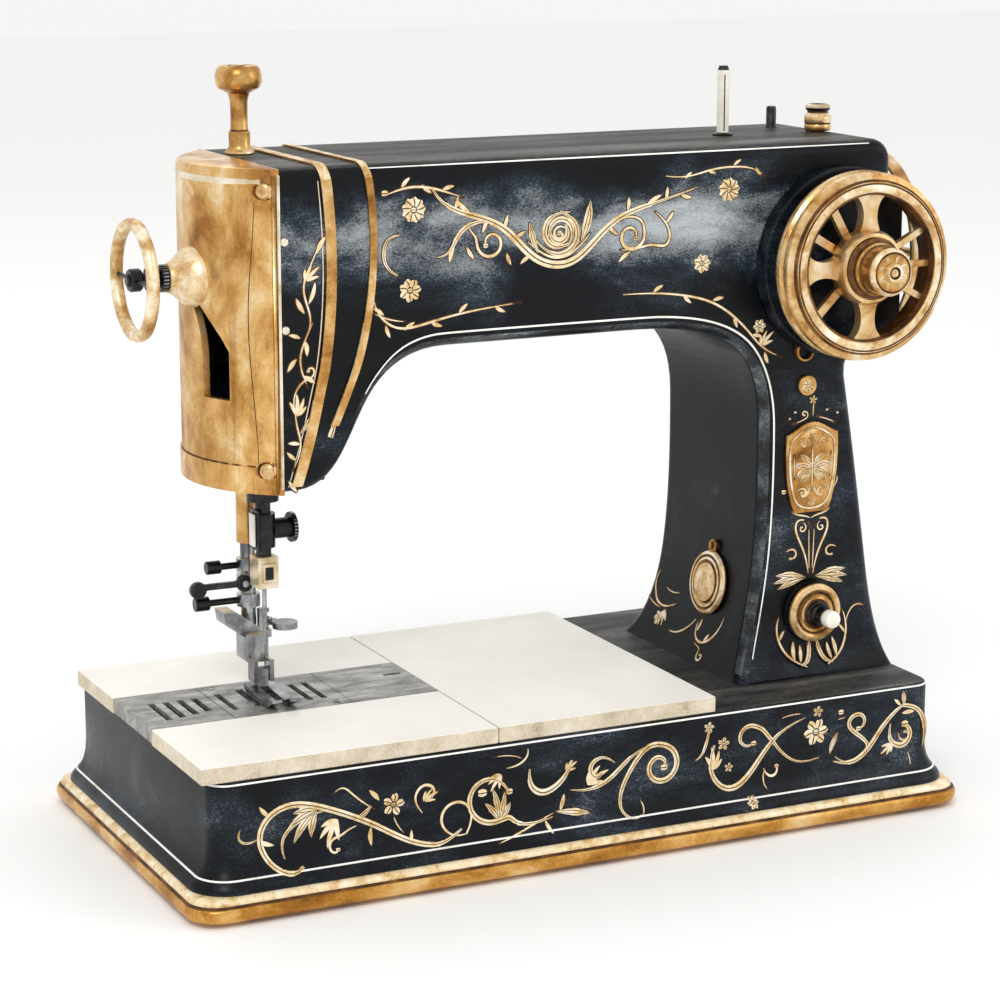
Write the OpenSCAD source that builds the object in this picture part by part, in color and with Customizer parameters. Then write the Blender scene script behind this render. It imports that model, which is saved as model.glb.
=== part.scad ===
// Domestic sewing machine on its own plinth, with a hand wheel on the front of the arm.
// X runs along the arm towards the wheel, -Y faces the person sewing, Z is up.
// The origin is at the bottom centre of the base, on the surface that the feet stand on.

/* [Base] */
// Length of the plinth moulding
plinth_l = 400; // [396:1:410]
// Depth of the plinth moulding
plinth_d = 212; // [210:1:220]
// Height of the top of the plinth moulding
plinth_top = 13; // [12:0.5:16]
// Length of the base casting
base_l = 374; // [372:1:376]
// Depth of the base casting
base_d = 186; // [184:1:190]
// Height of the deck of the base casting
base_top = 62; // [62:0.5:63]
// Wall of the base casting
base_wall = 5; // [4:0.5:6]
// Radius of the rubber feet
foot_r = 9; // [7:1:11]

/* [Bed] */
// Thickness of the bed plates
slab_t = 7.5; // [7:0.5:8]
// Gap between neighbouring bed plates
slab_gap = 0.4; // [0.3:0.1:0.6]
// Left end of the bed plates
slab_left = -191; // [-192:1:-190]
// Right end of the bed plates
slab_right = 65; // [60:1:70]
// Front edge of the bed plates
slab_front = -92; // [-92:1:-90]
// Back edge of the bed plates
slab_back = 82; // [78:1:84]
// Where the left and right bed plates meet
slab_split = -48; // [-50:1:-46]
// Front edge of the steel channel plates
channel_front = -26; // [-27:0.5:-25]
// Back edge of the steel channel plates
channel_back = 28; // [27:0.5:30]

/* [Arm] */
// Height of the top of the arm
arm_top = 322; // [320:1:324]
// Height of the underside of the arm
arm_under = 238; // [236:1:240]
// Half depth of the arm
arm_half = 50; // [49:0.5:51]
// Right end of the arm
arm_right = 183; // [181:1:184]
// Left end of the head, where the face plate starts
head_left = -134; // [-135:1:-133]
// Height of the underside of the head
head_under = 177; // [176:1:179]
// Left side of the pillar
pillar_left = 114; // [113:1:115]
// Half depth of the pillar at its waist
pillar_half = 48; // [47:0.5:49]

/* [Wheels and shafts] */
// Height of the arm shaft and of the hand wheel's axis
shaft_z = 265; // [264:1:266]
// X position of the hand wheel's axis
wheel_x = 153; // [152:1:154]
// Radius of the hand wheel
wheel_r = 45; // [42:1:46]
// Radius of the balance wheel on the end of the arm shaft
balance_r = 49; // [46:1:50]
// Radius of the shafts
shaft_r = 5; // [5:0.5:5.5]
// Radial clearance of a shaft in its bush
run_gap = 0.05; // [0.03:0.01:0.08]
// X position of the upright shaft in the pillar
upright_x = 126; // [125:1:127]
// Height of the lower shaft in the base
lower_z = 38; // [37:1:39]

/* [Needle and presser] */
// X position of the needle bar and of the presser bar
bar_x = -125; // [-126:1:-124]
// Y position of the presser bar behind the needle bar
presser_y = 21; // [20:1:22]
// Radius of the needle bar and of the presser bar
bar_r = 3.6; // [3.4:0.1:3.8]
// Crank radius, half of the needle bar's stroke
crank_r = 15; // [14:0.5:15]

/* [Hidden] */
$fn = 64;

feet_h = 2;                      // the plinth stands this far off the surface
plate_z = base_top;              // underside of the bed plates
bed_z = base_top + slab_t;       // top of the bed
deck_z = base_top - 8;           // underside of the deck of the base
bush_r = 8;                      // outside radius of a shaft bush
bush_bore = shaft_r + run_gap;
face_r = 61;                     // radius of the curved face plate
face_cx = head_left + 35;        // centre of the face plate's curve
needle_plate_left = -150;
needle_plate_right = -92;
tension_y = -6;
tension_z = 271;
balance_x = 200;
gear_near = 7;                   // a bevel gear's small end, from where the two axes meet
gear_far = 12.5;                 // and its large end
gear_teeth = 12;
foot_lift = 0.7;                 // the sole stands this far off the needle plate
lifter_z = 122;
winder_x = 171;
take_up_x = -137.7;              // middle of the take-up lever's thickness
medallion_at = [pillar_left - 5.3, -9, 101];
medallion_tilt = 10;
port_x = 136;
port_z = 222;
port_r = 5;
port_back = 2.4 - pillar_half;   // inner end of the oil port
dial_x = 143;
dial_z = 92;
rear_cover_x = 132;

// ---------- shared shapes ----------

// Points of a cubic curve, without its first point
function curve(a, b, c, d, n = 8) = [
  for (i = [1 : n]) let (t = i / n, s = 1 - t)
    s * s * s * a + 3 * s * s * t * b + 3 * s * t * t * c + t * t * t * d
];

// Rectangle with round corners, centred
module round_rect(l, d, r) {
  square([l - 2 * r, d], center = true);
  square([l, d - 2 * r], center = true);
  for (x = [-1, 1], y = [-1, 1])
    translate([x * (l / 2 - r), y * (d / 2 - r)]) circle(r);
}

// Box given by its low and high corners
module box(low, high) {
  translate(low) cube(high - low);
}

// Cylinder along X, from x0 to x1
module rod_x(x0, x1, y, z, r) {
  translate([x0, y, z]) rotate([0, 90, 0]) cylinder(h = x1 - x0, r = r);
}

// Cylinder along Y, from y0 to y1
module rod_y(x, y0, y1, z, r) {
  translate([x, y1, z]) rotate([90, 0, 0]) cylinder(h = y1 - y0, r = r);
}

// Upright cylinder from z0 to z1
module rod_z(x, y, z0, z1, r) {
  translate([x, y, z0]) cylinder(h = z1 - z0, r = r);
}

// Outline drawn in X and Z, given a thickness from y0 to y1
module plate_y(y0, y1) {
  translate([0, y1, 0]) rotate([90, 0, 0]) linear_extrude(y1 - y0) children();
}

// Outline drawn in Y and Z, given a thickness from x0 to x1
module plate_x(x0, x1) {
  translate([x0, 0, 0]) rotate([90, 0, 90]) linear_extrude(x1 - x0) children();
}

// Turned shape whose axis points to the front: profile in radius and distance forwards
module turned_front(x, y, z) {
  translate([x, y, z]) rotate([90, 0, 0]) rotate_extrude() children();
}

// Bevel gear on the Z axis, below the point at the origin where the two shafts' axes meet
module bevel_gear(phase = 0) {
  root = 1.1;
  crest = 0.6;
  // The teeth stop a little short of both ends of the cone
  near = gear_near + 0.25;
  far = gear_far - 0.25;
  rotate([0, 0, phase]) {
    rotate_extrude() polygon([
      [shaft_r, -gear_far - 2.5], [gear_far - 3, -gear_far - 2.5], [gear_far - root, -gear_far],
      [gear_near - root, -gear_near], [shaft_r, -gear_near]
    ]);
    for (i = [0 : gear_teeth - 1])
      rotate([0, 0, i * 360 / gear_teeth]) rotate([90, 0, 0])
        linear_extrude(1.3, center = true) polygon([
          [near - root - 0.4, -near], [near + crest, -near], [far + crest, -far], [far - root - 0.4, -far]
        ]);
  }
}

// Screw with a domed, slotted head that faces up; its origin is under the head
module dome_screw(head_r, head_h, shank_r, shank_l) {
  difference() {
    union() {
      intersection() {
        cylinder(h = head_h, r = head_r);
        translate([0, 0, head_h - head_r * 1.6]) sphere(head_r * 1.6);
      }
      translate([0, 0, -shank_l]) cylinder(h = shank_l, r = shank_r);
    }
    translate([0, 0, head_h]) cube([head_r * 2.2, head_r * 0.3, head_h], center = true);
  }
}

// ---------- base ----------

module plinth_moulding() color("darkgoldenrod") difference() {
  union() {
    translate([0, 0, feet_h]) linear_extrude(plinth_top - feet_h - 4)
      round_rect(plinth_l, plinth_d, 15);
    translate([0, 0, plinth_top - 4]) linear_extrude(2)
      round_rect(plinth_l - 3, plinth_d - 3, 14);
    translate([0, 0, plinth_top - 2]) linear_extrude(2)
      round_rect(plinth_l - 8, plinth_d - 8, 12);
  }
  translate([0, 0, -1]) linear_extrude(plinth_top + 2)
    round_rect(base_l + 0.4, base_d + 0.4, 10.2);
}

base_screw_at = [for (x = [-1, 1], y = [-1, 1]) [x * (base_l / 2 - 14), y * (base_d / 2 - 14)]];

module base_casting() color("#1b2431") difference() {
  union() {
    difference() {
      union() {
        translate([0, 0, feet_h]) linear_extrude(base_top - feet_h) round_rect(base_l, base_d, 10);
        translate([0, 0, plinth_top + 0.2]) linear_extrude(3)
          round_rect(base_l + 8, base_d + 8, 12);
        translate([0, 0, plinth_top + 3.2]) linear_extrude(2.5)
          round_rect(base_l + 4, base_d + 4, 11);
      }
      translate([0, 0, -1]) linear_extrude(deck_z + 1)
        round_rect(base_l - 2 * base_wall, base_d - 2 * base_wall, 7);
    }
    for (p = base_screw_at) rod_z(p[0], p[1], 5.5, deck_z + 1, 6);
    for (x = [-95, 95]) box([x - 5, -12, lower_z - 13], [x + 5, 12, deck_z + 1]);
  }
  // Well for the hook, and the openings under the channel
  box([-152, channel_front + 4, deck_z - 1], [-60, channel_back - 4, base_top + 1]);
  rod_z(upright_x, 0, deck_z - 1, base_top + 1, bush_r);
  for (x = [-95, 95]) rod_x(x - 6, x + 6, 0, lower_z, bush_r);
  for (p = base_screw_at) rod_z(p[0], p[1], 5, 20, 2);
}

module bottom_cover() color("#2a2a2c") difference() {
  translate([0, 0, 3]) linear_extrude(2.5)
    round_rect(base_l - 2 * base_wall - 0.6, base_d - 2 * base_wall - 0.6, 6.7);
  for (p = base_screw_at) rod_z(p[0], p[1], 2, 6, 2.3);
  for (x = [-60 : 20 : 60]) box([x - 2, -30, 2], [x + 2, 30, 6]);
}

module rubber_feet() color("#161616")
  for (x = [-1, 1], y = [-1, 1])
    translate([x * (base_l / 2 - 34), y * (base_d / 2 - 24), 0]) {
      cylinder(h = 1, r1 = foot_r - 1, r2 = foot_r);
      translate([0, 0, 1]) cylinder(h = 2, r = foot_r);
    }

module base_screws() color("#5c5c60")
  for (p = base_screw_at)
    translate([p[0], p[1], 3]) mirror([0, 0, 1]) dome_screw(3.8, 1.6, 1.95, 14);

// ---------- bed ----------

module slab(x0, x1, y0, y1) {
  box([x0, y0, plate_z], [x1, y1, bed_z]);
}

module bed_plate_right() color("#f1ead9")
  slab(slab_split + slab_gap / 2, slab_right, slab_front, slab_back);

module bed_plate_front() color("#f1ead9")
  slab(slab_left, slab_split - slab_gap / 2, slab_front, channel_front - slab_gap);

module bed_plate_rear() color("#f1ead9")
  slab(slab_left, slab_split - slab_gap / 2, channel_back + slab_gap, slab_back);

needle_screw_at = [[needle_plate_right - 6, channel_front + 5], [needle_plate_left + 6, channel_back - 5]];

module needle_plate() color("#9fa2a3") difference() {
  union() {
    box([needle_plate_left, channel_front, bed_z - 2.5], [needle_plate_right, channel_back, bed_z]);
    // Rails down to the deck on each side of the well
    for (y = [channel_front, channel_back - 3.5])
      box([needle_plate_left, y, plate_z], [needle_plate_right, y + 3.5, bed_z - 2]);
  }
  // Needle hole, then the slots for the rows of the feed dog
  rod_z(bar_x, 0, bed_z - 4, bed_z + 1, 1.6);
  for (x = feed_rows) box([x - 2, -12, bed_z - 4], [x + 2, 16, bed_z + 1]);
  for (x = [-145, -108, -101]) box([x - 1.5, -14, bed_z - 4], [x + 1.5, 14, bed_z + 1]);
  for (p = needle_screw_at) rod_z(p[0], p[1], plate_z - 1, bed_z + 1, 1.6);
}

module needle_plate_screws() color("#b7b7ba")
  for (p = needle_screw_at) translate([p[0], p[1], bed_z]) dome_screw(3, 0.8, 1.5, 6);

module bed_cover_plate() color("#8f9394") difference() {
  union() {
    box([needle_plate_right + slab_gap, channel_front, bed_z - 2.5],
        [slab_split - slab_gap / 2, channel_back, bed_z]);
    for (y = [channel_front, channel_back - 3.5])
      box([needle_plate_right + slab_gap, y, plate_z], [slab_split - slab_gap / 2, y + 3.5, bed_z - 2]);
  }
  box([-61, 8, bed_z - 4], [-52, 11, bed_z + 1]);
}

module slide_plate() color("#9a9d9e") difference() {
  union() {
    box([slab_left + 0.5, channel_front, bed_z - 2.5],
        [needle_plate_left - slab_gap, channel_back, bed_z]);
    // Turned-down end that is pulled with a finger
    box([slab_left + 0.5, channel_front, plate_z + 0.4], [slab_left + 3, channel_back, bed_z - 2]);
  }
  for (i = [0 : 3]) {
    x = -178 + 7 * i;
    box([x - 1.6, -16 + 2 * i, bed_z - 4], [x + 1.6, 12, bed_z + 1]);
  }
}

feed_rows = [bar_x - 8, bar_x + 8];

module feed_dog() color("#c3c5c6") {
  for (x = feed_rows) {
    box([x - 1.6, -8, bed_z - 6.5], [x + 1.6, 12, bed_z - 0.9]);
    // Saw teeth along the top of each row
    for (i = [0 : 9])
      plate_x(x - 1.6, x + 1.6) polygon([
        [-8 + 2 * i, bed_z - 1], [-6.2 + 2 * i, bed_z - 1], [-6.2 + 2 * i, bed_z - 0.2]
      ]);
  }
  box([feed_rows[0] - 1.6, 6, bed_z - 9.5], [feed_rows[1] + 1.6, 12, bed_z - 6.5]);
  // Feed bar under the deck, and the upright that joins it to the rows
  box([feed_rows[0] - 1.6, 12, deck_z - 1.6], [feed_rows[1] + 1.6, 15, bed_z - 6.5]);
  box([feed_rows[0] - 1.6, 15, deck_z - 3.4], [-70, 19, deck_z - 0.5]);
}

// ---------- arm, pillar and head ----------

// Side of the machine as seen from the front
module arm_outline(grow = 0) {
  corner = 7;
  polygon(concat(
    [[head_left, head_under], [head_left + 9, head_under]],
    curve([head_left + 9, head_under], [-110, head_under + 1], [-104, 190], [-97, 204]),
    curve([-97, 204], [-88, 222], [-80, arm_under], [-52, arm_under]),
    [[40, arm_under]],
    curve([40, arm_under], [88, arm_under], [pillar_left - 1, 230], [pillar_left, 190]),
    curve([pillar_left, 190], [pillar_left + 1, 130], [112, 88], [96, base_top]),
    [[base_l / 2, base_top]],
    curve([base_l / 2, base_top], [180, 84], [176, 130], [162, 208]),
    curve([162, 208], [160, 226], [arm_right, 228], [arm_right, 250]),
    [[arm_right, arm_top + grow - corner]],
    curve([arm_right, arm_top + grow - corner], [arm_right, arm_top + grow - 3],
          [arm_right - 3, arm_top + grow], [arm_right - corner, arm_top + grow], 6),
    [[head_left, arm_top + grow]]
  ));
}

// Half of the machine's end view, from the middle to the front
module end_outline(grow = 0) {
  corner = 9;
  half = concat(
    [[0, base_top], [60, base_top]],
    curve([60, base_top], [50, 72], [pillar_half, 90], [pillar_half, 112]),
    [[pillar_half + grow, 150], [pillar_half + grow, 212]],
    curve([pillar_half + grow, 212], [pillar_half + grow, 227], [arm_half + grow, 227],
          [arm_half + grow, arm_under], 4),
    [[arm_half + grow, arm_top + grow - corner]],
    curve([arm_half + grow, arm_top + grow - corner], [arm_half + grow, arm_top + grow - 4],
          [arm_half + grow - 4, arm_top + grow], [arm_half + grow - corner, arm_top + grow], 6),
    [[0, arm_top + grow]]
  );
  polygon(half);
  mirror([1, 0]) polygon(half);
}

module arm_solid(grow = 0) {
  intersection() {
    plate_y(-70, 70) arm_outline(grow);
    plate_x(head_left - 1, 200) end_outline(grow);
  }
}

module arm_cavity() {
  inner = arm_half - 7;
  // Head, arm and pillar are hollow, and the pillar is open to the base
  plate_y(-inner, inner) polygon([
    [head_left - 1, 184], [-119, 184], [-106, 206], [-98, 240], [-98, arm_top - 7], [head_left - 1, arm_top - 7]
  ]);
  box([-92, -inner, arm_under + 7], [60, inner, arm_top - 7]);
  box([66, -inner, arm_under + 7], [arm_right - 9, inner, arm_top - 7]);
  plate_y(-inner + 4, inner - 4) polygon([
    [118, 232], [118, 150], [117, 110], [106, base_top - 1],
    [176, base_top - 1], [166, 110], [160, 150], [154, 205], [154, 232]
  ]);
}

module arm_casting() color("#1b2431") difference() {
  union() {
    difference() {
      arm_solid();
      arm_cavity();
    }
    // Round pad behind the hand wheel, cut off at the end of the arm
    intersection() {
      rod_y(wheel_x, -61, -arm_half + 1, shaft_z, wheel_r + 1);
      box([0, -70, 200], [arm_right, 0, arm_top - 5]);
    }
    rod_y(wheel_x, -arm_half + 1, -26, shaft_z, bush_r + 5);
    // Pads for the stitch dial and the medallion
    rod_y(dial_x, -pillar_half - 3, -pillar_half + 5, dial_z, 15.5);
    translate(medallion_at) rotate([0, medallion_tilt, 0])
      rotate([0, 90, 0]) cylinder(h = 9, r = 14);
    // Stud that the take-up lever turns on
    rod_x(take_up_x + 1.5, -97, 34, 228, 4);
    rod_x(take_up_x - 1.7, take_up_x + 2, 34, 228, 2.5);
  }
  // Bores for the bushes of the arm shaft, the wheel shaft and the upright shaft
  for (x = [-98, 60]) rod_x(x - 1, x + 7, 0, shaft_z, bush_r);
  rod_x(arm_right - 10, arm_right + 1, 0, shaft_z, bush_r);
  rod_y(wheel_x, -62, -25, shaft_z, bush_r);
  rod_z(upright_x, 0, 231, arm_under + 8, bush_r);
  // Bores for the bar guides, the regulator, the spool pins and the winder
  rod_z(bar_x, 0, head_under - 1, 185, 6);
  rod_z(bar_x, presser_y, head_under - 1, 185, 5.2);
  rod_z(bar_x, presser_y, arm_top - 8, arm_top + 1, 4 + run_gap);
  rod_z(117, 0, arm_top - 8, arm_top + 1, 2.2);
  rod_z(160, 26, arm_top - 8, arm_top + 1, 2.2);
  rod_z(winder_x, 0, arm_top - 8, arm_top + 1, 2.5 + run_gap);
  // Rear inspection opening, bore of the dial and socket of the oil port
  rod_y(rear_cover_x, 40, 60, shaft_z, 28);
  rod_y(dial_x, -55, -37, dial_z, 4 + run_gap);
  rod_y(port_x, -60, port_back, port_z, port_r + 0.02);
  for (a = cover_screw_angles)
    rod_y(rear_cover_x + 33 * cos(a), 40, 60, shaft_z + 33 * sin(a), 1.6);
  for (p = face_screw_at) rod_x(head_left - 1, head_left + 12, p[0], p[1], 1.6);
}

cover_screw_angles = [45, 135, 225, 315];
face_screw_at = [[-45.5, 312], [45.5, 312], [-45.5, 188], [45.5, 188]];

module rear_cover_plate() color("#b08a3c") difference() {
  turned = 36.5;
  union() {
    rod_y(rear_cover_x, arm_half, arm_half + 2, shaft_z, turned);
    rod_y(rear_cover_x, arm_half + 2, arm_half + 3.5, shaft_z, 24);
    rod_y(rear_cover_x, arm_half - 4, arm_half, shaft_z, 27.7);
  }
  for (a = cover_screw_angles)
    rod_y(rear_cover_x + 33 * cos(a), arm_half - 1, arm_half + 4, shaft_z + 33 * sin(a), 1.7);
}

// A thin band that follows the head's section along an arc of the front view
module trim_band(cx, cz, r, w) {
  difference() {
    intersection() {
      arm_solid(1.2);
      plate_y(-60, 60) difference() {
        translate([cx, cz]) circle(r + w, $fn = 180);
        translate([cx, cz]) circle(r, $fn = 180);
      }
      box([-140, -60, head_under + 3], [-60, 60, arm_top + 2]);
    }
    arm_solid();
  }
}

module trim_band_front() color("#c8963e") trim_band(-410, 280, 297.5, 5);

module trim_band_rear() color("#c8963e") intersection() {
  trim_band(-277, 288, 185.5, 3.5);
  box([-140, -60, 206], [-60, 60, arm_top + 2]);
}

// ---------- face plate and thread tension ----------

module face_plate() color("#c49a4a") difference() {
  union() {
    difference() {
      translate([face_cx, 0, head_under + 1]) cylinder(h = arm_top - head_under - 1, r = face_r, $fn = 160);
      translate([face_cx, 0, head_under]) cylinder(h = arm_top - head_under - 4, r = face_r - 3, $fn = 160);
      box([head_left, -70, 0], [0, 70, 400]);
    }
    // Lower band, slightly proud
    difference() {
      translate([face_cx, 0, head_under]) cylinder(h = 12, r = face_r + 0.8, $fn = 160);
      translate([face_cx, 0, head_under - 1]) cylinder(h = 14, r = face_r - 3, $fn = 160);
      box([head_left, -70, 0], [0, 70, 400]);
    }
    // Flanges that lie against the head
    for (y = [-1, 1]) box([head_left - 3, y * 45.5 - 4, head_under + 1], [head_left, y * 45.5 + 4, arm_top - 3]);
  }
  // Seats for the heads of the four screws
  for (p = face_screw_at) rod_x(-160, head_left - 3, p[0], p[1], 3.8);
  // Opening that shows the take-up lever, then the bore of the tension stem
  plate_x(-170, head_left - 8) polygon(concat(
    [[-15, 218], [-31, 218], [-31, 240]],
    curve([-31, 240], [-26, 250], [-14, 258], [-5, 267], 5),
    curve([-5, 267], [-2, 268], [-2, 265], [-5, 262], 4),
    curve([-5, 262], [-10, 256], [-14, 250], [-15, 238], 4)
  ));
  rod_x(-175, head_left, tension_y, tension_z, 3.5);
  for (p = face_screw_at) rod_x(-160, head_left + 1, p[0], p[1], 1.7);
}

module cover_screws() color("#c9a655") {
  for (p = face_screw_at)
    translate([head_left - 3, p[0], p[1]]) rotate([0, -90, 0]) dome_screw(3.4, 1.6, 1.5, 12);
  for (a = cover_screw_angles)
    translate([rear_cover_x + 33 * cos(a), arm_half + 2, shaft_z + 33 * sin(a)])
      rotate([-90, 0, 0]) dome_screw(2.9, 1.4, 1.5, 8);
}

module tension_boss() color("#c49a4a") difference() {
  translate([0, tension_y, tension_z]) rotate([0, -90, 0]) rotate_extrude() polygon(concat(
    [[0, 150], [14, 150], [14, 159]],
    curve([14, 159], [12.5, 166], [8, 166], [6.5, 171]),
    [[0, 171]]
  ));
  translate([face_cx, 0, 200]) cylinder(h = 120, r = face_r, $fn = 160);
  rod_x(-175, -140, tension_y, tension_z, 3 + run_gap);
}

module tension_stem() color("#26262a") {
  rod_x(-190, -145, tension_y, tension_z, 3);
  for (c = [[-174.5, -171.3, 6], [-177, -175.2, 4.6], [-180.5, -177.5, 5.6]])
    rod_x(c[0], c[1], tension_y, tension_z, c[2]);
}

module tension_ring() color("#d1a85a") {
  translate([-186, tension_y, tension_z]) rotate([0, 90, 0]) difference() {
    union() {
      rotate_extrude() translate([25, 0]) circle(2.6, $fn = 32);
      cylinder(h = 6, r = 5.4, center = true);
      rotate([90, 0, 0]) cylinder(h = 48, r = 1.3, center = true);
    }
    cylinder(h = 20, r = 3, center = true);
  }
}

module take_up_lever() color("#b9bbbd") difference() {
  plate_x(take_up_x - 1.2, take_up_x + 1.2) union() {
    translate([34, 228]) circle(7);
    polygon([[34, 234], [34, 222], [-20, 237], [-20, 243]]);
    translate([-22, 240]) circle(4.5);
  }
  rod_x(take_up_x - 5, take_up_x + 5, 34, 228, 2.5 + run_gap);
  rod_x(take_up_x - 5, take_up_x + 5, -22, 240, 1.6);
}

// ---------- needle bar ----------

module bar_guides() color("#3a3a3e") difference() {
  union() {
    rod_z(bar_x, 0, 164, 184, 6);
    rod_z(bar_x, presser_y, 140, 184, 5.2);
    rod_z(bar_x, 0, 164, head_under, 7.5);
    box([bar_x - 2, 5, 164], [bar_x + 2, presser_y - 4, 174]);
  }
  rod_z(bar_x, 0, 130, 190, bar_r + run_gap);
  rod_z(bar_x, presser_y, 130, 190, bar_r + run_gap);
}

module needle_bar() color("#44464b") {
  rod_z(bar_x, 0, 131, 262, bar_r);
  rod_z(bar_x, 0, 244, 256, 4.2);
  rod_x(bar_x, bar_x + 7.4, 0, 250, 3);
}

// Link from the needle bar up to the crank pin; it clears the pin, where the loop is opened
module needle_link() color("#8b8d92") difference() {
  plate_x(bar_x + 4.4, bar_x + 7.4) union() {
    translate([0, 250]) circle(6);
    translate([-3, 250]) square([6, shaft_z + crank_r - 250]);
    translate([0, shaft_z + crank_r]) circle(6);
  }
  rod_x(bar_x, bar_x + 10, 0, 250, 3);
  rod_x(bar_x + 4, bar_x + 8, 0, shaft_z + crank_r, 3.4);
}

module needle_clamp() color("#cdb98a") difference() {
  union() {
    box([bar_x - 5, -6, 123], [bar_x + 5, 5, 138]);
    box([bar_x - 3, -7.2, 126], [bar_x + 3, -6, 135]);
  }
  rod_z(bar_x, 0, 131, 139, bar_r);
  rod_z(bar_x, 0, 120, 132, 1.1);
}

module needle_clamp_screw() color("#1d1d20") {
  box([bar_x - 4.6, -5, 141], [bar_x - 3.6, 5, 160]);
  difference() {
    rod_z(bar_x, 0, 142, 158, 5.6);
    rod_z(bar_x, 0, 141, 159, bar_r);
  }
  rod_x(bar_x + 4, bar_x + 14, 0, 150, 4.8);
  rod_x(bar_x + 13, bar_x + 15, 0, 150, 7);
}

module needle() color("#d6d8da") {
  rod_z(bar_x, 0, 104, 131, 1.1);
  rod_z(bar_x, 0, 90, 104.5, 0.6);
  translate([bar_x, 0, 85]) cylinder(h = 5.2, r1 = 0.15, r2 = 0.6);
}

// ---------- presser bar ----------

module presser_bar() color("#7d7f84") {
  rod_z(bar_x, presser_y, 96, 300, bar_r);
  rod_z(bar_x, presser_y, 232, 238, 7);
}

// Points of a ring of the spring's wire, and the whole spring as one swept tube
spring_turns = 9;
spring_steps = 14;
spring_r = 5.6;
wire_r = 0.8;
spring_low = 239;
spring_high = 311;
function spring_point(i) = let (a = i * 360 / spring_steps, t = i / (spring_turns * spring_steps))
  [bar_x + spring_r * cos(a), presser_y + spring_r * sin(a),
   spring_low + t * (spring_high - spring_low)];
function wire_ring(i) = let (a = i * 360 / spring_steps, p = spring_point(i))
  [for (k = [0 : 5]) p + wire_r * [cos(a) * cos(60 * k), sin(a) * cos(60 * k), sin(60 * k)]];

module presser_spring() color("#8d8f94") {
  rings = spring_turns * spring_steps;
  points = [for (i = [0 : rings]) each wire_ring(i)];
  sides = [for (i = [0 : rings - 1], k = [0 : 5])
    [i * 6 + k, (i + 1) * 6 + k, (i + 1) * 6 + (k + 1) % 6, i * 6 + (k + 1) % 6]];
  polyhedron(points = points, faces = concat(
    sides, [[0, 1, 2, 3, 4, 5]], [[for (k = [5 : -1 : 0]) rings * 6 + k]]
  ));
}

module presser_lifter() color("#2c2c30") difference() {
  plate_y(presser_y - 9.6, presser_y - 6.6) union() {
    translate([bar_x - 5, lifter_z]) circle(4);
    translate([bar_x - 27, lifter_z - 1.4]) square([22, 2.8]);
    translate([bar_x - 28, lifter_z - 1]) circle(4);
  }
  rod_y(bar_x - 5, 0, 40, lifter_z, 1.5 + run_gap);
}

module presser_foot_holder() color("#7b7c80") difference() {
  union() {
    // Sloping clamp plate, shank and the fork that holds the foot
    plate_y(presser_y - 7, presser_y + 6) polygon([
      [bar_x - 15, 108], [bar_x - 14, 102], [bar_x + 1, 91], [bar_x + 6, 91], [bar_x + 6, 97], [bar_x - 9, 108]
    ]);
    box([bar_x - 5, presser_y - 12, 84], [bar_x + 5, presser_y + 4, 97]);
    for (s = [-1, 1])
      box([bar_x + s * 4 - 1, 2, 76], [bar_x + s * 4 + 1, presser_y - 11, 86.5]);
    // Collars that carry the thumb screws and the lifter
    for (z = [109, 118.5, 126]) rod_z(bar_x, presser_y, z, z + 6, 5.6);
    rod_y(bar_x - 5, presser_y - 10.4, presser_y - 3, lifter_z, 1.5);
    // Little hook, and the post of the release lever
    box([bar_x + 3, presser_y - 6, 97], [bar_x + 5, presser_y - 3, 108]);
    box([bar_x + 3, presser_y - 6, 106], [bar_x + 8, presser_y - 3, 108]);
    rod_z(bar_x + 8, presser_y - 1, 95, 103, 1.5);
    box([bar_x + 4, presser_y - 3.5, 93], [bar_x + 10, presser_y + 1.5, 97]);
  }
  rod_z(bar_x, presser_y, 96, 140, bar_r);
  rod_x(bar_x - 8, bar_x + 8, 5, 80, 1.5);
}

module presser_foot() color("#8a8c90") difference() {
  union() {
    // Sole with a turned-up toe
    plate_x(bar_x - 7, bar_x + 7) polygon([
      [11, bed_z + 3.2], [8, bed_z + foot_lift], [-19, bed_z + foot_lift], [-26, bed_z + 4.2],
      [-25.4, bed_z + 5.6], [-18, bed_z + 2.9], [11, bed_z + 4.4]
    ]);
    plate_x(bar_x - 2.7, bar_x + 2.7) polygon([[3.5, bed_z + 2], [9, bed_z + 2], [8.6, 82], [3.5, 82]]);
    rod_x(bar_x - 5, bar_x + 5, 5, 80, 1.5 - run_gap);
  }
  box([bar_x - 2, -30, bed_z - 1], [bar_x + 2, 3.3, bed_z + 8]);
}

module presser_thumb_screws() color("#222226")
  for (s = [[112, 20, 3.4], [129, 14, 3.2]]) {
    rod_x(bar_x - s[1], bar_x - 5.6, presser_y, s[0], 1.6);
    rod_x(bar_x - s[1] - 7, bar_x - s[1], presser_y, s[0], s[2]);
  }

module foot_release_lever() color("#8a8c90") difference() {
  union() {
    rod_z(bar_x + 8, presser_y - 1, 99, 102, 3.4);
    box([bar_x + 9, presser_y - 9, 99.5], [bar_x + 13, presser_y - 1, 101.5]);
    rod_z(bar_x + 14, presser_y - 11, 99, 102, 6);
  }
  rod_z(bar_x + 8, presser_y - 1, 98, 103, 1.5 + run_gap);
}

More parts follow.
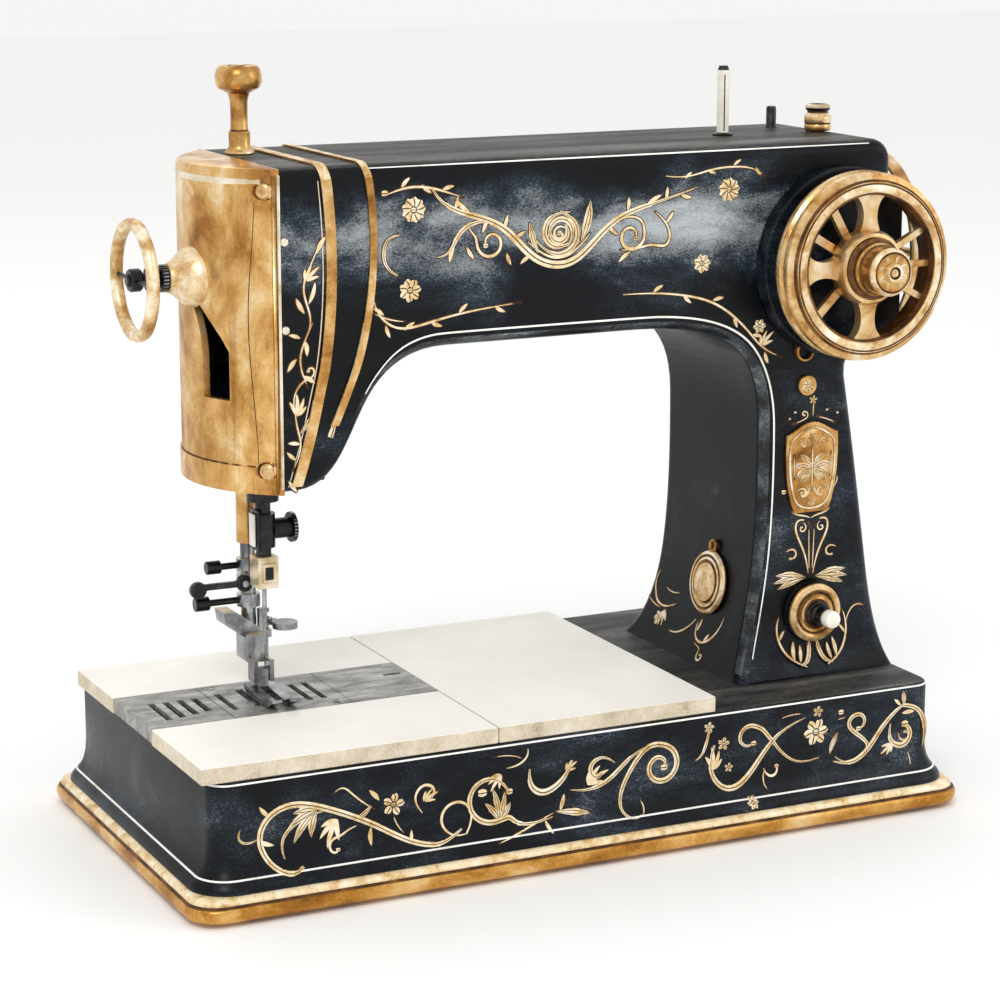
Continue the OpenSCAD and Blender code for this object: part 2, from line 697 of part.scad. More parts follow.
module pressure_regulator() color("#c49a4a")
  translate([bar_x, presser_y, 0]) rotate_extrude() polygon(concat(
    [[0, arm_top - 9.5], [4, arm_top - 9.5], [4, arm_top + 0.4], [7, arm_top + 0.4], [6.2, arm_top + 3]],
    curve([6.2, arm_top + 3], [4.6, arm_top + 6], [3.8, arm_top + 12], [3.8, arm_top + 16]),
    [[4.4, arm_top + 28], [8, arm_top + 29.5], [10.6, arm_top + 33], [10.6, arm_top + 37]],
    curve([10.6, arm_top + 37], [10.4, arm_top + 39.5], [9, arm_top + 40.4], [7, arm_top + 40.6], 5),
    [[0, arm_top + 40.6]]
  ));

// ---------- hand wheel ----------

module slim_spoke(a, y0, y1, w) {
  translate([wheel_x, 0, shaft_z]) rotate([0, -a, 0])
    box([14, y0, -w / 2], [wheel_r - 8, y1, w / 2]);
}

// Spoke that is wide at the hub and at the rim and narrow between
module wide_spoke(a) {
  translate([wheel_x, 0, shaft_z]) rotate([0, -a, 0]) plate_y(-77.5, -72) polygon(concat(
    [[12, -9]], curve([12, -9], [17, -4.5], [22, -3.2], [27, -4]),
    curve([27, -4], [31, -4.6], [33, -7], [36, -10]),
    [[36, 10]], curve([36, 10], [33, 7], [31, 4.6], [27, 4]),
    curve([27, 4], [22, 3.2], [17, 4.5], [12, 9])
  ));
}

module hand_wheel() color("#c49a4a") difference() {
  union() {
    // Rim with a stepped face and a belt groove
    turned_front(wheel_x, 0, shaft_z) polygon([
      [wheel_r - 10, 66.5], [wheel_r - 3, 65.5], [wheel_r, 67], [wheel_r, 70], [wheel_r - 1.6, 71],
      [wheel_r - 1.6, 73], [wheel_r, 74], [wheel_r - 0.5, 76.5], [wheel_r - 4, 77.5],
      [wheel_r - 4.5, 79.5], [wheel_r - 9.5, 79.5], [wheel_r - 11, 77]
    ]);
    // Hub
    turned_front(wheel_x, 0, shaft_z) polygon([
      [0, 64], [12, 64], [13, 68], [17.5, 71], [18, 78], [16.5, 81], [15, 81.5], [15, 79], [0, 79]
    ]);
    for (a = [90, 180, 270]) wide_spoke(a);
    for (a = [-28, 0, 28]) slim_spoke(a, -76, -72.5, 3);
    for (a = [120, 150, 225]) slim_spoke(a, -70, -67, 4);
  }
  rod_y(wheel_x, -90, -60, shaft_z, shaft_r);
}

module clutch_nut() color("#b8893a") difference() {
  union() {
    turned_front(wheel_x, 0, shaft_z) polygon([
      [0, 79], [14.2, 79], [14.2, 82.5], [12.4, 84], [12.4, 86], [11.4, 87], [11.4, 96], [9.8, 98], [0, 98]
    ]);
    for (i = [0 : 7])
      translate([wheel_x, -98, shaft_z]) rotate([0, i * 45, 0]) translate([6.6, 0, 0])
        rotate([90, 0, 0]) cylinder(h = 0.8, r = 1.7);
  }
  rod_y(wheel_x, -99, -70, shaft_z, 4);
}

module clutch_screw() color("#8d6f3a")
  translate([wheel_x, -98, shaft_z]) rotate([90, 0, 0]) dome_screw(4.6, 2.4, 3.9, 5.9);

module hand_wheel_shaft() color("#a9abae") {
  rod_y(wheel_x, -79, -gear_near, shaft_z, shaft_r);
  rod_y(wheel_x, -92, -79, shaft_z, 3.9);
}

module hand_wheel_gear() color("#8f8a7a")
  translate([wheel_x, 0, shaft_z]) rotate([-90, 0, 0]) bevel_gear(0);

// ---------- arm shaft and balance wheel ----------

module arm_shaft() color("#a9abae") {
  rod_x(-112, balance_x + 3, 0, shaft_z, shaft_r);
  // Crank disc and its pin, at the top of the stroke
  difference() {
    rod_x(-112, -105, 0, shaft_z, crank_r + 5);
    plate_x(-113, -104) intersection() {
      translate([0, shaft_z]) circle(crank_r + 6);
      translate([-6.5, shaft_z + 8]) mirror([1, 0]) square([20, 20]);
    }
  }
  rod_x(-117.2, -111, 0, shaft_z + crank_r, 3);
}

module arm_shaft_gears() color("#8f8a7a")
  for (g = [[wheel_x, 15], [upright_x, 0]])
    translate([g[0], 0, shaft_z]) rotate([0, 90, 0]) bevel_gear(g[1]);

module ring_bush(l) {
  difference() {
    cylinder(h = l, r = bush_r);
    translate([0, 0, -1]) cylinder(h = l + 2, r = bush_bore);
  }
}

module shaft_bushes() color("#b08d3f") {
  for (x = [-98, 60]) translate([x, 0, shaft_z]) rotate([0, 90, 0]) ring_bush(6);
  translate([arm_right - 9, 0, shaft_z]) rotate([0, 90, 0]) ring_bush(12);
  translate([wheel_x, -26, shaft_z]) rotate([90, 0, 0]) ring_bush(37);
  translate([upright_x, 0, 232]) ring_bush(13);
  translate([upright_x, 0, deck_z]) ring_bush(9);
  for (x = [-100, 90]) translate([x, 0, lower_z]) rotate([0, 90, 0]) ring_bush(10);
}

module balance_wheel() color("#c8963e") difference() {
  union() {
    translate([balance_x, 0, shaft_z]) rotate([0, 90, 0]) rotate_extrude() polygon([
      [balance_r - 2.6, -3.5], [balance_r - 0.8, -3.5], [balance_r, -2], [balance_r, 2],
      [balance_r - 0.8, 3.5], [balance_r - 2.6, 3.5]
    ]);
    rod_x(balance_x - 7, balance_x + 3, 0, shaft_z, 11);
    for (i = [0 : 4])
      translate([balance_x, 0, shaft_z]) rotate([90 + 72 * i, 0, 0]) translate([0, 0, 9])
        cylinder(h = balance_r - 11, r = 2.2);
  }
  rod_x(190, 215, 0, shaft_z, shaft_r);
}

module balance_wheel_nut() color("#8d6f3a")
  translate([balance_x + 3, 0, shaft_z]) rotate([0, 90, 0]) cylinder(h = 2.2, r = 8, $fn = 6);

// ---------- upright shaft, lower shaft and hook ----------

module upright_shaft() color("#a9abae") rod_z(upright_x, 0, lower_z + gear_near, shaft_z - gear_near, shaft_r);

module upright_shaft_gears() color("#8f8a7a") {
  translate([upright_x, 0, shaft_z]) bevel_gear(15);
  translate([upright_x, 0, lower_z]) mirror([0, 0, 1]) bevel_gear(15);
}

module lower_shaft() color("#a9abae") rod_x(-111, upright_x - gear_near, 0, lower_z, shaft_r);

module lower_shaft_gear() color("#8f8a7a")
  translate([upright_x, 0, lower_z]) rotate([0, 90, 0]) bevel_gear(0);

// Cup that turns round the bobbin, with the hook's point cut into its rim
module rotary_hook() color("#b3b5b8") difference() {
  rod_x(-122.5, -106, 0, lower_z, 17);
  rod_x(-124, -111, 0, lower_z, 13.5);
  rod_x(-112, -105, 0, lower_z, shaft_r);
  plate_x(-124, -116) polygon([[2, lower_z + 8], [2, lower_z + 20], [18, lower_z + 20], [18, lower_z + 4]]);
}

module bobbin() color("#c7c9cb") {
  rod_x(-121.5, -111.4, 0, lower_z, 3.5);
  for (x = [-121.5, -112.4]) rod_x(x, x + 1, 0, lower_z, 11);
}

// ---------- dial, badges and pins ----------

module stitch_dial() color("#c49a4a") difference() {
  union() {
    turned_front(dial_x, 0, dial_z) polygon([
      [0, 51.3], [13.5, 51.3], [14.6, 52.5], [14.2, 54], [11.5, 55.2], [10.5, 54.6], [7.5, 54.6],
      [6, 56], [5.6, 60], [0, 60]
    ]);
    rod_y(dial_x, -52, -38, dial_z, 4);
  }
  rod_y(dial_x, -61, -54.6, dial_z, 3.5 + run_gap);
}

module reverse_button() color("#f0e9d6") {
  rod_y(dial_x, -65, -58.5, dial_z, 3.5);
  turned_front(dial_x, 0, dial_z) polygon([
    [0, 64], [4.4, 64], [4.4, 69.2], [3, 70.4], [0, 70.6]
  ]);
}

// Round medallion with a raised middle and a hanging loop
module medallion() color("#c49a4a")
  translate(medallion_at) rotate([0, medallion_tilt, 0]) translate([-2.6, 0, 0]) {
    rotate([0, 90, 0]) cylinder(h = 2.6, r = 16);
    rotate([0, -90, 0]) cylinder(h = 1.4, r1 = 11.5, r2 = 9);
    translate([0, 0, 17.6]) rotate([0, 90, 0]) difference() {
      cylinder(h = 2, r = 3.4);
      translate([0, 0, -1]) cylinder(h = 4, r = 1.8);
    }
  }

// Shield with a hollowed top edge, small oval badge and the rim of the oil port
module front_badges() color("#c49a4a") {
  plate_y(-pillar_half - 1.8, -pillar_half) polygon(concat(
    [[127, 181]], curve([127, 181], [133, 183], [136, 187], [141.5, 187], 5),
    curve([141.5, 187], [147, 187], [150, 183], [156, 181], 5),
    curve([156, 181], [157, 165], [155, 150], [151, 142], 5),
    [[132, 142]], curve([132, 142], [128, 150], [126, 165], [127, 181], 5)
  ));
  translate([138, -pillar_half, 205]) rotate([90, 0, 0]) cylinder(h = 2, r = 5);
  difference() {
    rod_y(port_x, -pillar_half - 2.6, port_back, port_z, port_r);
    rod_y(port_x, -pillar_half - 4, port_back - 1, port_z, port_r - 1.4);
  }
}

module spool_pins() color("#e3dcc8") {
  rod_z(117, 0, arm_top - 6, arm_top + 34, 2.2);
  rod_z(117, 0, arm_top, arm_top + 32, 2.9);
  rod_z(117, 0, arm_top, arm_top + 1.4, 5);
  rod_z(160, 26, arm_top - 6, arm_top + 11, 2.2);
  rod_z(160, 26, arm_top, arm_top + 10, 2.5);
}

module bobbin_winder_cup() color("#c49a4a") {
  translate([winder_x, 0, 0]) rotate_extrude() polygon([
    [0, arm_top + 0.4], [6.2, arm_top + 0.4], [6.6, arm_top + 3], [6.2, arm_top + 4], [6.6, arm_top + 5],
    [6.6, arm_top + 8], [5.2, arm_top + 9.6], [0, arm_top + 9.6]
  ]);
  rod_z(winder_x, 0, arm_top - 9.5, arm_top + 1, 2.5);
}

module bobbin_winder_cap() color("#d9dadb")
  translate([winder_x, 0, 0]) rotate_extrude() polygon([
    [0, arm_top + 9.6], [5.2, arm_top + 9.6], [6, arm_top + 11], [6, arm_top + 12.6], [4.6, arm_top + 13.4],
    [3.4, arm_top + 12], [0, arm_top + 12]
  ]);

plinth_moulding();
base_casting();
bottom_cover();
rubber_feet();
base_screws();
bed_plate_right();
bed_plate_front();
bed_plate_rear();
needle_plate();
needle_plate_screws();
bed_cover_plate();
slide_plate();
feed_dog();
arm_casting();
rear_cover_plate();
trim_band_front();
trim_band_rear();
face_plate();
cover_screws();
tension_boss();
tension_stem();
tension_ring();
take_up_lever();
needle_bar();
bar_guides();
needle_link();
needle_clamp();
needle_clamp_screw();
needle();
presser_bar();
presser_spring();
presser_lifter();
presser_foot_holder();
presser_foot();
presser_thumb_screws();
foot_release_lever();
pressure_regulator();
hand_wheel();
clutch_nut();
clutch_screw();
hand_wheel_shaft();
hand_wheel_gear();
arm_shaft();
arm_shaft_gears();
shaft_bushes();
balance_wheel();
balance_wheel_nut();
upright_shaft();
upright_shaft_gears();
lower_shaft();
lower_shaft_gear();
rotary_hook();
bobbin();
stitch_dial();
reverse_button();
medallion();
front_badges();
spool_pins();
bobbin_winder_cup();
bobbin_winder_cap();
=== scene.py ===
"""Looks of an antique-style domestic sewing machine, built round its packed mechanical model.

All sizes in this file are millimetres unless a name says otherwise. Blender works in metres, so a
size is multiplied by MM where it becomes a coordinate.
"""

import logging
import math
from collections.abc import Callable, Iterable, Sequence
from dataclasses import dataclass, field
from enum import Enum

import bmesh
import bpy
from mathutils import Matrix, Vector


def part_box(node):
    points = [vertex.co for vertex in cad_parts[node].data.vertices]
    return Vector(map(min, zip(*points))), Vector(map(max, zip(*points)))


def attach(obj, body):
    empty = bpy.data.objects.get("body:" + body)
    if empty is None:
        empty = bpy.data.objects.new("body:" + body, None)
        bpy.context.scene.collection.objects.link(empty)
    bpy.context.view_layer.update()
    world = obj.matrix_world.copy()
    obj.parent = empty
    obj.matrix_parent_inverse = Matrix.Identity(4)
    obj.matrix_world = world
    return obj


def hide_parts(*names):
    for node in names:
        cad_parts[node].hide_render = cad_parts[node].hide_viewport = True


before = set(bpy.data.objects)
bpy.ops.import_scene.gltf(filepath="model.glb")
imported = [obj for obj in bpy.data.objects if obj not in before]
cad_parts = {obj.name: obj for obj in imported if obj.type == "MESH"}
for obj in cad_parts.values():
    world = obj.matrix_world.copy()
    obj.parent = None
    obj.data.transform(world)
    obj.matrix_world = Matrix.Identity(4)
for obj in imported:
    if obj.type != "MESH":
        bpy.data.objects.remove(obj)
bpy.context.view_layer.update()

MM = 0.001
LOG = logging.getLogger("sewing_machine")

Point2 = tuple[float, float]
Colour = tuple[float, float, float, float]


# ---------------------------------------------------------------- finishes


def to_linear(hex_code: str) -> Colour:
    """Turns an sRGB hex colour into the linear colour that shaders take.

    Args:
        hex_code: six hex digits after a hash.

    Returns:
        Red, green, blue and alpha, each from 0 to 1.
    """
    parts = [int(hex_code[i : i + 2], 16) / 255 for i in (1, 3, 5)]
    red, green, blue = (p / 12.92 if p <= 0.04045 else ((p + 0.055) / 1.055) ** 2.4 for p in parts)
    return red, green, blue, 1.0


def add_node(
    tree: bpy.types.NodeTree, kind: str, settings: dict | None = None, links: dict | None = None
) -> bpy.types.Node:
    """Adds one shader node, sets it and links its inputs.

    Args:
        tree: the material's node tree.
        kind: the node's type name.
        settings: values by the name or number of an input, or by the name of a property.
        links: output sockets by the name or number of the input that they feed.

    Returns:
        The new node.
    """
    made = tree.nodes.new(kind)
    for key, value in (settings or {}).items():
        if isinstance(key, int) or key in made.inputs:
            made.inputs[key].default_value = value
        else:
            setattr(made, key, value)
    for key, socket in (links or {}).items():
        tree.links.new(socket, made.inputs[key])
    return made


@dataclass(frozen=True)
class Finish:
    """A surface in four tones that soft clouds and a fine grain mix together.

    The clouds stand for polish, age and handling, and the grain for what the surface is made of.
    """

    name: str
    tones: tuple[str, str, str, str]
    stops: tuple[float, float, float, float] = (0.32, 0.45, 0.56, 0.70)
    cloud: float = 30.0
    grain: float = 1.5
    grain_share: float = 0.22
    stretch: tuple[float, float, float] = (1.0, 1.0, 1.0)
    roughness: tuple[float, float] = (0.30, 0.45)
    metallic: float = 0.0
    specular: float = 0.5
    relief: float = 0.03
    coat: float = 0.0
    # Height, half width and lift of a painted highlight: a level band where the tones are lifted
    highlight_lift: tuple[float, float, float] | None = None

    def material(self) -> bpy.types.Material:
        """Returns the finish's material, made the first time that it is asked for."""
        return bpy.data.materials.get(self.name) or self._make()

    def _make(self) -> bpy.types.Material:
        """Builds the material's nodes.

        Returns:
            The new material.
        """
        made = bpy.data.materials.new(self.name)
        made.use_nodes = True
        tree = made.node_tree
        tree.nodes.clear()
        place = add_node(tree, "ShaderNodeTexCoord").outputs["Object"]
        turned = add_node(
            tree, "ShaderNodeMapping", {"Scale": self.stretch, "Rotation": (0.21, 0.13, 0.09)},
            {"Vector": place}
        ).outputs[0]
        clouds = add_node(
            tree,
            "ShaderNodeTexNoise",
            {"Scale": 1 / (self.cloud * MM), "Detail": 7.0, "Roughness": 0.62, "Distortion": 0.35},
            {"Vector": turned},
        ).outputs["Fac"]
        grain = add_node(
            tree,
            "ShaderNodeTexNoise",
            {"Scale": 1 / (self.grain * MM), "Detail": 3.0, "Roughness": 0.7},
            {"Vector": turned},
        ).outputs["Fac"]
        mixed = add_node(
            tree, "ShaderNodeMix", {"data_type": "FLOAT", "Factor": self.grain_share},
            {"A": clouds, "B": grain}
        ).outputs[0]
        if self.highlight_lift:
            mixed = self._lifted_for_highlight(tree, place, mixed)
        ramp = add_node(tree, "ShaderNodeValToRGB", links={"Fac": mixed})
        bands = ramp.color_ramp.elements
        while len(bands) < len(self.tones):
            bands.new(1.0)
        for band, stop, tone in zip(bands, self.stops, self.tones):
            band.position, band.color = stop, to_linear(tone)
        rough = add_node(
            tree,
            "ShaderNodeMapRange",
            {"From Min": 0.3, "From Max": 0.7, "To Min": self.roughness[1], "To Max": self.roughness[0]},
            {"Value": mixed},
        )
        bump = add_node(
            tree, "ShaderNodeBump", {"Strength": 0.6, "Distance": self.relief * MM}, {"Height": grain}
        )
        shader = add_node(
            tree,
            "ShaderNodeBsdfPrincipled",
            {
                "Metallic": self.metallic,
                "Specular IOR Level": self.specular,
                "Coat Weight": self.coat,
                "Coat Roughness": 0.12,
            },
            {"Base Color": ramp.outputs["Color"], "Roughness": rough.outputs[0], "Normal": bump.outputs[0]},
        )
        add_node(tree, "ShaderNodeOutputMaterial", links={"Surface": shader.outputs[0]})
        return made

    def _lifted_for_highlight(
        self, tree: bpy.types.NodeTree, place: bpy.types.NodeSocket, mixed: bpy.types.NodeSocket
    ) -> bpy.types.NodeSocket:
        """Lifts the tones in a level band: a painted highlight along the rounded front of a casting.

        Args:
            tree: the material's node tree.
            place: object coordinates.
            mixed: clouds and grain.

        Returns:
            The socket to colour by.
        """
        height, half, lift = self.highlight_lift
        split = add_node(tree, "ShaderNodeSeparateXYZ", links={0: place})
        away = add_node(tree, "ShaderNodeMath", {"operation": "SUBTRACT", 1: height * MM},
            {0: split.outputs["Z"]})
        away = add_node(tree, "ShaderNodeMath", {"operation": "ABSOLUTE"}, {0: away.outputs[0]})
        share = add_node(
            tree,
            "ShaderNodeMapRange",
            {"interpolation_type": "SMOOTHSTEP", "From Max": half * MM, "To Min": lift,
                "To Max": -lift * 0.35},
            {"Value": away.outputs[0]},
        )
        return add_node(tree, "ShaderNodeMath", {"operation": "ADD"},
            {0: mixed, 1: share.outputs[0]}).outputs[0]


# Black oven-baked enamel on cast iron: deep blue-black, clouded by old polish, fine dust in the gloss
ENAMEL = Finish(
    "baked_black_enamel", ("#020305", "#080c12", "#222b34", "#8d959a"), (0.40, 0.49, 0.57, 0.74),
    cloud=40, grain=0.8, grain_share=0.32, stretch=(0.6, 0.8, 1.2), roughness=(0.28, 0.42), specular=0.16,
    coat=0.05,
)
# The same enamel on the arm, with a painted highlight in a level band along its middle
ENAMEL_ARM = Finish(
    "black_enamel_with_painted_highlight", ("#020305", "#080c12", "#28323c", "#b4b9bb"), (0.42, 0.52, 0.61, 0.80),
    cloud=44, grain=0.8, grain_share=0.30, stretch=(0.75, 1, 1.3), roughness=(0.28, 0.42), specular=0.16,
    coat=0.05,
    highlight_lift=(288, 40, 0.17),
)
# Enamel along the rounded rim of the arch, painted paler as its highlight, streaked along it
ENAMEL_RIM = Finish(
    "rim_enamel_painted_highlight", ("#07090c", "#1f2328", "#5a5f63", "#c2c6c8"), (0.38, 0.48, 0.58, 0.74),
    cloud=20, grain=0.7, grain_share=0.34, stretch=(0.4, 1.5, 1.2), roughness=(0.28, 0.4), specular=0.25,
    coat=0.05,
)
# Enamel on the faces that look up, in a paler grey with brushed streaks along the arm
ENAMEL_TOP = Finish(
    "pale_grey_top_enamel", ("#121315", "#2f302f", "#5c5a56", "#a6a29c"), (0.36, 0.46, 0.57, 0.73),
    cloud=30, grain=0.8, grain_share=0.38, stretch=(0.25, 1.6, 1), roughness=(0.42, 0.55), specular=0.12,
)
# Enamel inside the throat, in the shade and hardly touched
ENAMEL_DEEP = Finish(
    "shaded_black_enamel", ("#010203", "#030509", "#10141b", "#5c6166"), (0.44, 0.54, 0.62, 0.78),
    cloud=36, grain=0.8, grain_share=0.28, roughness=(0.28, 0.42), specular=0.12, coat=0.04,
)
# Lacquered cast brass: warm yellow, brown where the lacquer has aged, nearly cream where it is rubbed
BRASS = Finish(
    "lacquered_cast_brass", ("#6b431a", "#b07d3e", "#d6ab6a", "#f8e7c2"), (0.32, 0.44, 0.55, 0.69),
    cloud=19, grain=0.8, grain_share=0.15, roughness=(0.2, 0.34), metallic=0.8, relief=0.02,
)
# Face plate brass, mottled along its height
BRASS_FACE = Finish(
    "mottled_sheet_brass", ("#6a401a", "#b58140", "#dcb06c", "#faeac6"), (0.31, 0.43, 0.54, 0.69),
    cloud=24, grain=0.8, grain_share=0.16, stretch=(1.1, 1.1, 0.75), roughness=(0.2, 0.34), metallic=0.78,
    relief=0.02,
)
# Turned brass, rubbed bright by the hand; also the painted highlights on the bands' tops and the hand wheel's
# rim
BRASS_BRIGHT = Finish(
    "rubbed_brass_and_painted_highlight", ("#8a6330", "#c79c5f", "#e8cfa2", "#fbf2df"), (0.34, 0.44, 0.53, 0.64),
    cloud=11, grain=0.7, grain_share=0.2, roughness=(0.3, 0.45), metallic=0.35, relief=0.012,
)
# Brass of the wheels, worn pale on every edge that a palm rubs
BRASS_WHEEL = Finish(
    "palm_worn_wheel_brass", ("#7d5223", "#c39252", "#e2c18c", "#fbf0dc"), (0.32, 0.43, 0.54, 0.68),
    cloud=17, grain=0.8, grain_share=0.15, roughness=(0.2, 0.34), metallic=0.75, relief=0.015,
)
# Brass in the bottom of a groove, brown with old oil; in the clutch nut's steps it is also painted shade
BRASS_DARK = Finish(
    "oil_browned_and_shaded_brass", ("#24150a", "#4a2d13", "#74491f", "#a3713a"), (0.32, 0.45, 0.58, 0.72),
    cloud=9, grain=0.7, roughness=(0.40, 0.55), metallic=0.5, relief=0.02,
)
# Bronzed plinth moulding: gold paint over primer, brushed on along its length
MOULDING = Finish(
    "bronzed_moulding", ("#744714", "#b57c2c", "#dba95c", "#f2d9a8"), (0.33, 0.45, 0.55, 0.70),
    cloud=28, grain=0.8, grain_share=0.22, stretch=(0.8, 0.8, 1.2), roughness=(0.26, 0.4), metallic=0.75,
    relief=0.05,
)
# Gold leaf on size: raised a little, paler on its crests, thin enough to show brown; also the moulding's
# painted highlight
GILT = Finish(
    "gold_leaf_and_moulding_highlight", ("#94692f", "#d0a868", "#ecd3a4", "#fbf0d8"), (0.30, 0.40, 0.49, 0.62),
    cloud=7, grain=0.7, grain_share=0.3, roughness=(0.35, 0.5), metallic=0.2, relief=0.02,
)
# Size and old varnish that darken the outline of the gold leaf; the wide dark edge round each stroke is also
# a painted shadow
GILT_SHADE = Finish(
    "gilt_outline_and_painted_shadow", ("#120b06", "#2c1a0c", "#4d3117", "#7a5228"), (0.32, 0.44, 0.56, 0.72),
    cloud=6, grain=0.6, grain_share=0.3, roughness=(0.5, 0.62), specular=0.2, relief=0.01,
)
# Transfer-printed pin-line in ivory paint; along the arm's rounded edges it is also a painted highlight
PINLINE = Finish(
    "ivory_pin_line_and_edge_highlight", ("#b9b3a4", "#e6e2d6", "#f7f5ee", "#ffffff"), (0.25, 0.38, 0.5, 0.7),
    cloud=12, grain=0.8, roughness=(0.4, 0.5), relief=0.01,
)
# Cream stove enamel on the bed, smooth with a faint orange-peel
CREAM = Finish(
    "cream_stove_enamel", ("#ece5d7", "#f6f1e7", "#faf6ee", "#fffdf8"), (0.2, 0.4, 0.55, 0.75),
    cloud=40, grain=1.2, grain_share=0.35, roughness=(0.36, 0.5), specular=0.35, relief=0.03,
)
# The bed plates' side faces, in a deeper beige than their tops
CREAM_EDGE = Finish(
    "deep_beige_cream_enamel", ("#a08f76", "#cabca3", "#dccfb9", "#ece4d4"), (0.3, 0.43, 0.55, 0.7),
    cloud=14, grain=1.0, grain_share=0.35, roughness=(0.45, 0.6), specular=0.3, relief=0.03,
)
# Ground steel of the channel plates, stained by oil and thread lint
STEEL_PLATE = Finish(
    "oil_stained_ground_steel", ("#55544f", "#7f7e7a", "#a8a7a2", "#d2d1cc"), (0.34, 0.45, 0.55, 0.68),
    cloud=12, grain=0.7, grain_share=0.35, stretch=(0.45, 1.5, 1), roughness=(0.34, 0.5), metallic=0.55,
    relief=0.02,
)
# Polished carbon steel of the bars and the foot
STEEL = Finish(
    "polished_carbon_steel", ("#3c3e41", "#76787b", "#a6a8aa", "#d9dadb"), (0.30, 0.44, 0.56, 0.72),
    cloud=16, grain=0.5, grain_share=0.15, roughness=(0.16, 0.28), metallic=0.92, relief=0.008,
)
# Blackened steel: heat-blued and oiled
STEEL_BLACK = Finish(
    "oil_blackened_steel", ("#050506", "#121315", "#26282b", "#5c5f63"), (0.38, 0.5, 0.6, 0.74),
    cloud=7, grain=0.5, roughness=(0.24, 0.38), metallic=0.4, relief=0.01, specular=0.5,
)
# Nickel plate with a warm tone where it wears through to brass; also the face plate's painted highlights
WARM_NICKEL = Finish(
    "worn_nickel_and_painted_highlight", ("#a08355", "#cfba93", "#eadfc8", "#f8f4ea"), (0.3, 0.43, 0.54, 0.68),
    cloud=16, grain=0.5, roughness=(0.2, 0.34), metallic=0.6, relief=0.01,
)
# Bone-like pressed ivory plastic
IVORY = Finish(
    "pressed_ivory", ("#d8d0ba", "#ece6d4", "#f8f5ea", "#ffffff"), (0.25, 0.4, 0.55, 0.75),
    cloud=8, grain=0.6, roughness=(0.28, 0.4), relief=0.01,
)
# Steel gears and shafts under old oil
GEAR_STEEL = Finish(
    "oiled_gear_steel", ("#2a2722", "#57534b", "#817d74", "#b1ada4"), (0.34, 0.46, 0.57, 0.7),
    cloud=8, grain=0.5, roughness=(0.28, 0.4), metallic=0.9, relief=0.01,
)
# Sintered bronze bushes
BRONZE = Finish(
    "sintered_bush_bronze", ("#4d3214", "#85602c", "#a97f43", "#cda768"), (0.34, 0.46, 0.57, 0.7),
    cloud=6, grain=0.4, roughness=(0.4, 0.55), metallic=0.8, relief=0.02,
)
# Moulded rubber of the feet
RUBBER = Finish(
    "moulded_black_rubber", ("#0b0b0b", "#161616", "#222222", "#363636"), (0.3, 0.45, 0.6, 0.75),
    cloud=6, grain=0.8, roughness=(0.65, 0.8), specular=0.3, relief=0.05,
)
# Grey painted sheet steel under the base
SHEET_STEEL = Finish(
    "painted_sheet_steel", ("#17181a", "#242628", "#333638", "#55585a"), (0.3, 0.45, 0.6, 0.75),
    cloud=20, grain=0.9, roughness=(0.5, 0.62), specular=0.4, relief=0.04,
)


# ---------------------------------------------------------------- making pieces


def mm(x: float, y: float, z: float) -> Vector:
    """Returns a point given in millimetres as a vector in metres."""
    return Vector((x, y, z)) * MM


def cubic(a: Point2, b: Point2, c: Point2, d: Point2, count: int) -> list[Point2]:
    """Points along a cubic curve, its first point left out.

    Args:
        a: start.
        b: first handle.
        c: second handle.
        d: end.
        count: how many points.

    Returns:
        The points in order.
    """
    made = []
    for i in range(1, count + 1):
        t = i / count
        s = 1 - t
        made.append(tuple(s**3 * a[k] + 3 * s * s * t * b[k] + 3 * s * t * t * c[k] + t**3 * d[k]
            for k in (0, 1)))
    return made


def reading(points: Sequence[Point2], at: float) -> float:
    """Reads a curve given as points of (value, height) at one height.

    Args:
        points: (value, height) pairs in order of height, falling or rising.
        at: the height.

    Returns:
        The value there, held level past both ends.
    """
    ordered = sorted(points, key=lambda p: p[1])
    if at <= ordered[0][1]:
        return ordered[0][0]
    for low, high in zip(ordered, ordered[1:]):
        if at <= high[1]:
            share = (at - low[1]) / max(high[1] - low[1], 1e-9)
            return low[0] + (high[0] - low[0]) * share
    return ordered[-1][0]


def outline_face(bm: bmesh.types.BMesh, points: Iterable[Vector]) -> bmesh.types.BMFace:
    """Adds one face through the given points and returns it."""
    return bm.faces.new([bm.verts.new(p) for p in points])


def extrude_face(bm: bmesh.types.BMesh, face: bmesh.types.BMFace, by: Vector) -> list[bmesh.types.BMVert]:
    """Pulls a face out along a vector, leaving the solid closed.

    Args:
        bm: the mesh.
        face: the face.
        by: how far, in metres.

    Returns:
        The moved vertices.
    """
    pulled = bmesh.ops.extrude_face_region(bm, geom=[face], use_keep_orig=True)
    verts = [g for g in pulled["geom"] if isinstance(g, bmesh.types.BMVert)]
    bmesh.ops.translate(bm, verts=verts, vec=by)
    return verts


def round_edges(bm: bmesh.types.BMesh, edges: Iterable[bmesh.types.BMEdge], radius: float,
    steps: int = 3) -> None:
    """Rounds edges.

    Args:
        bm: the mesh.
        edges: the edges to round.
        radius: in millimetres.
        steps: segments of the round.
    """
    bmesh.ops.bevel(
        bm, geom=list(edges), offset=radius * MM, offset_type="OFFSET", segments=steps, profile=0.5,
        affect="EDGES", clamp_overlap=False, material=-1,
    )


def sharp_edges(bm: bmesh.types.BMesh, degrees: float = 35.0) -> list[bmesh.types.BMEdge]:
    """Returns the edges where two faces meet at more than an angle."""
    limit = math.radians(degrees)
    return [e for e in bm.edges if len(e.link_faces) == 2 and e.calc_face_angle(0) > limit]


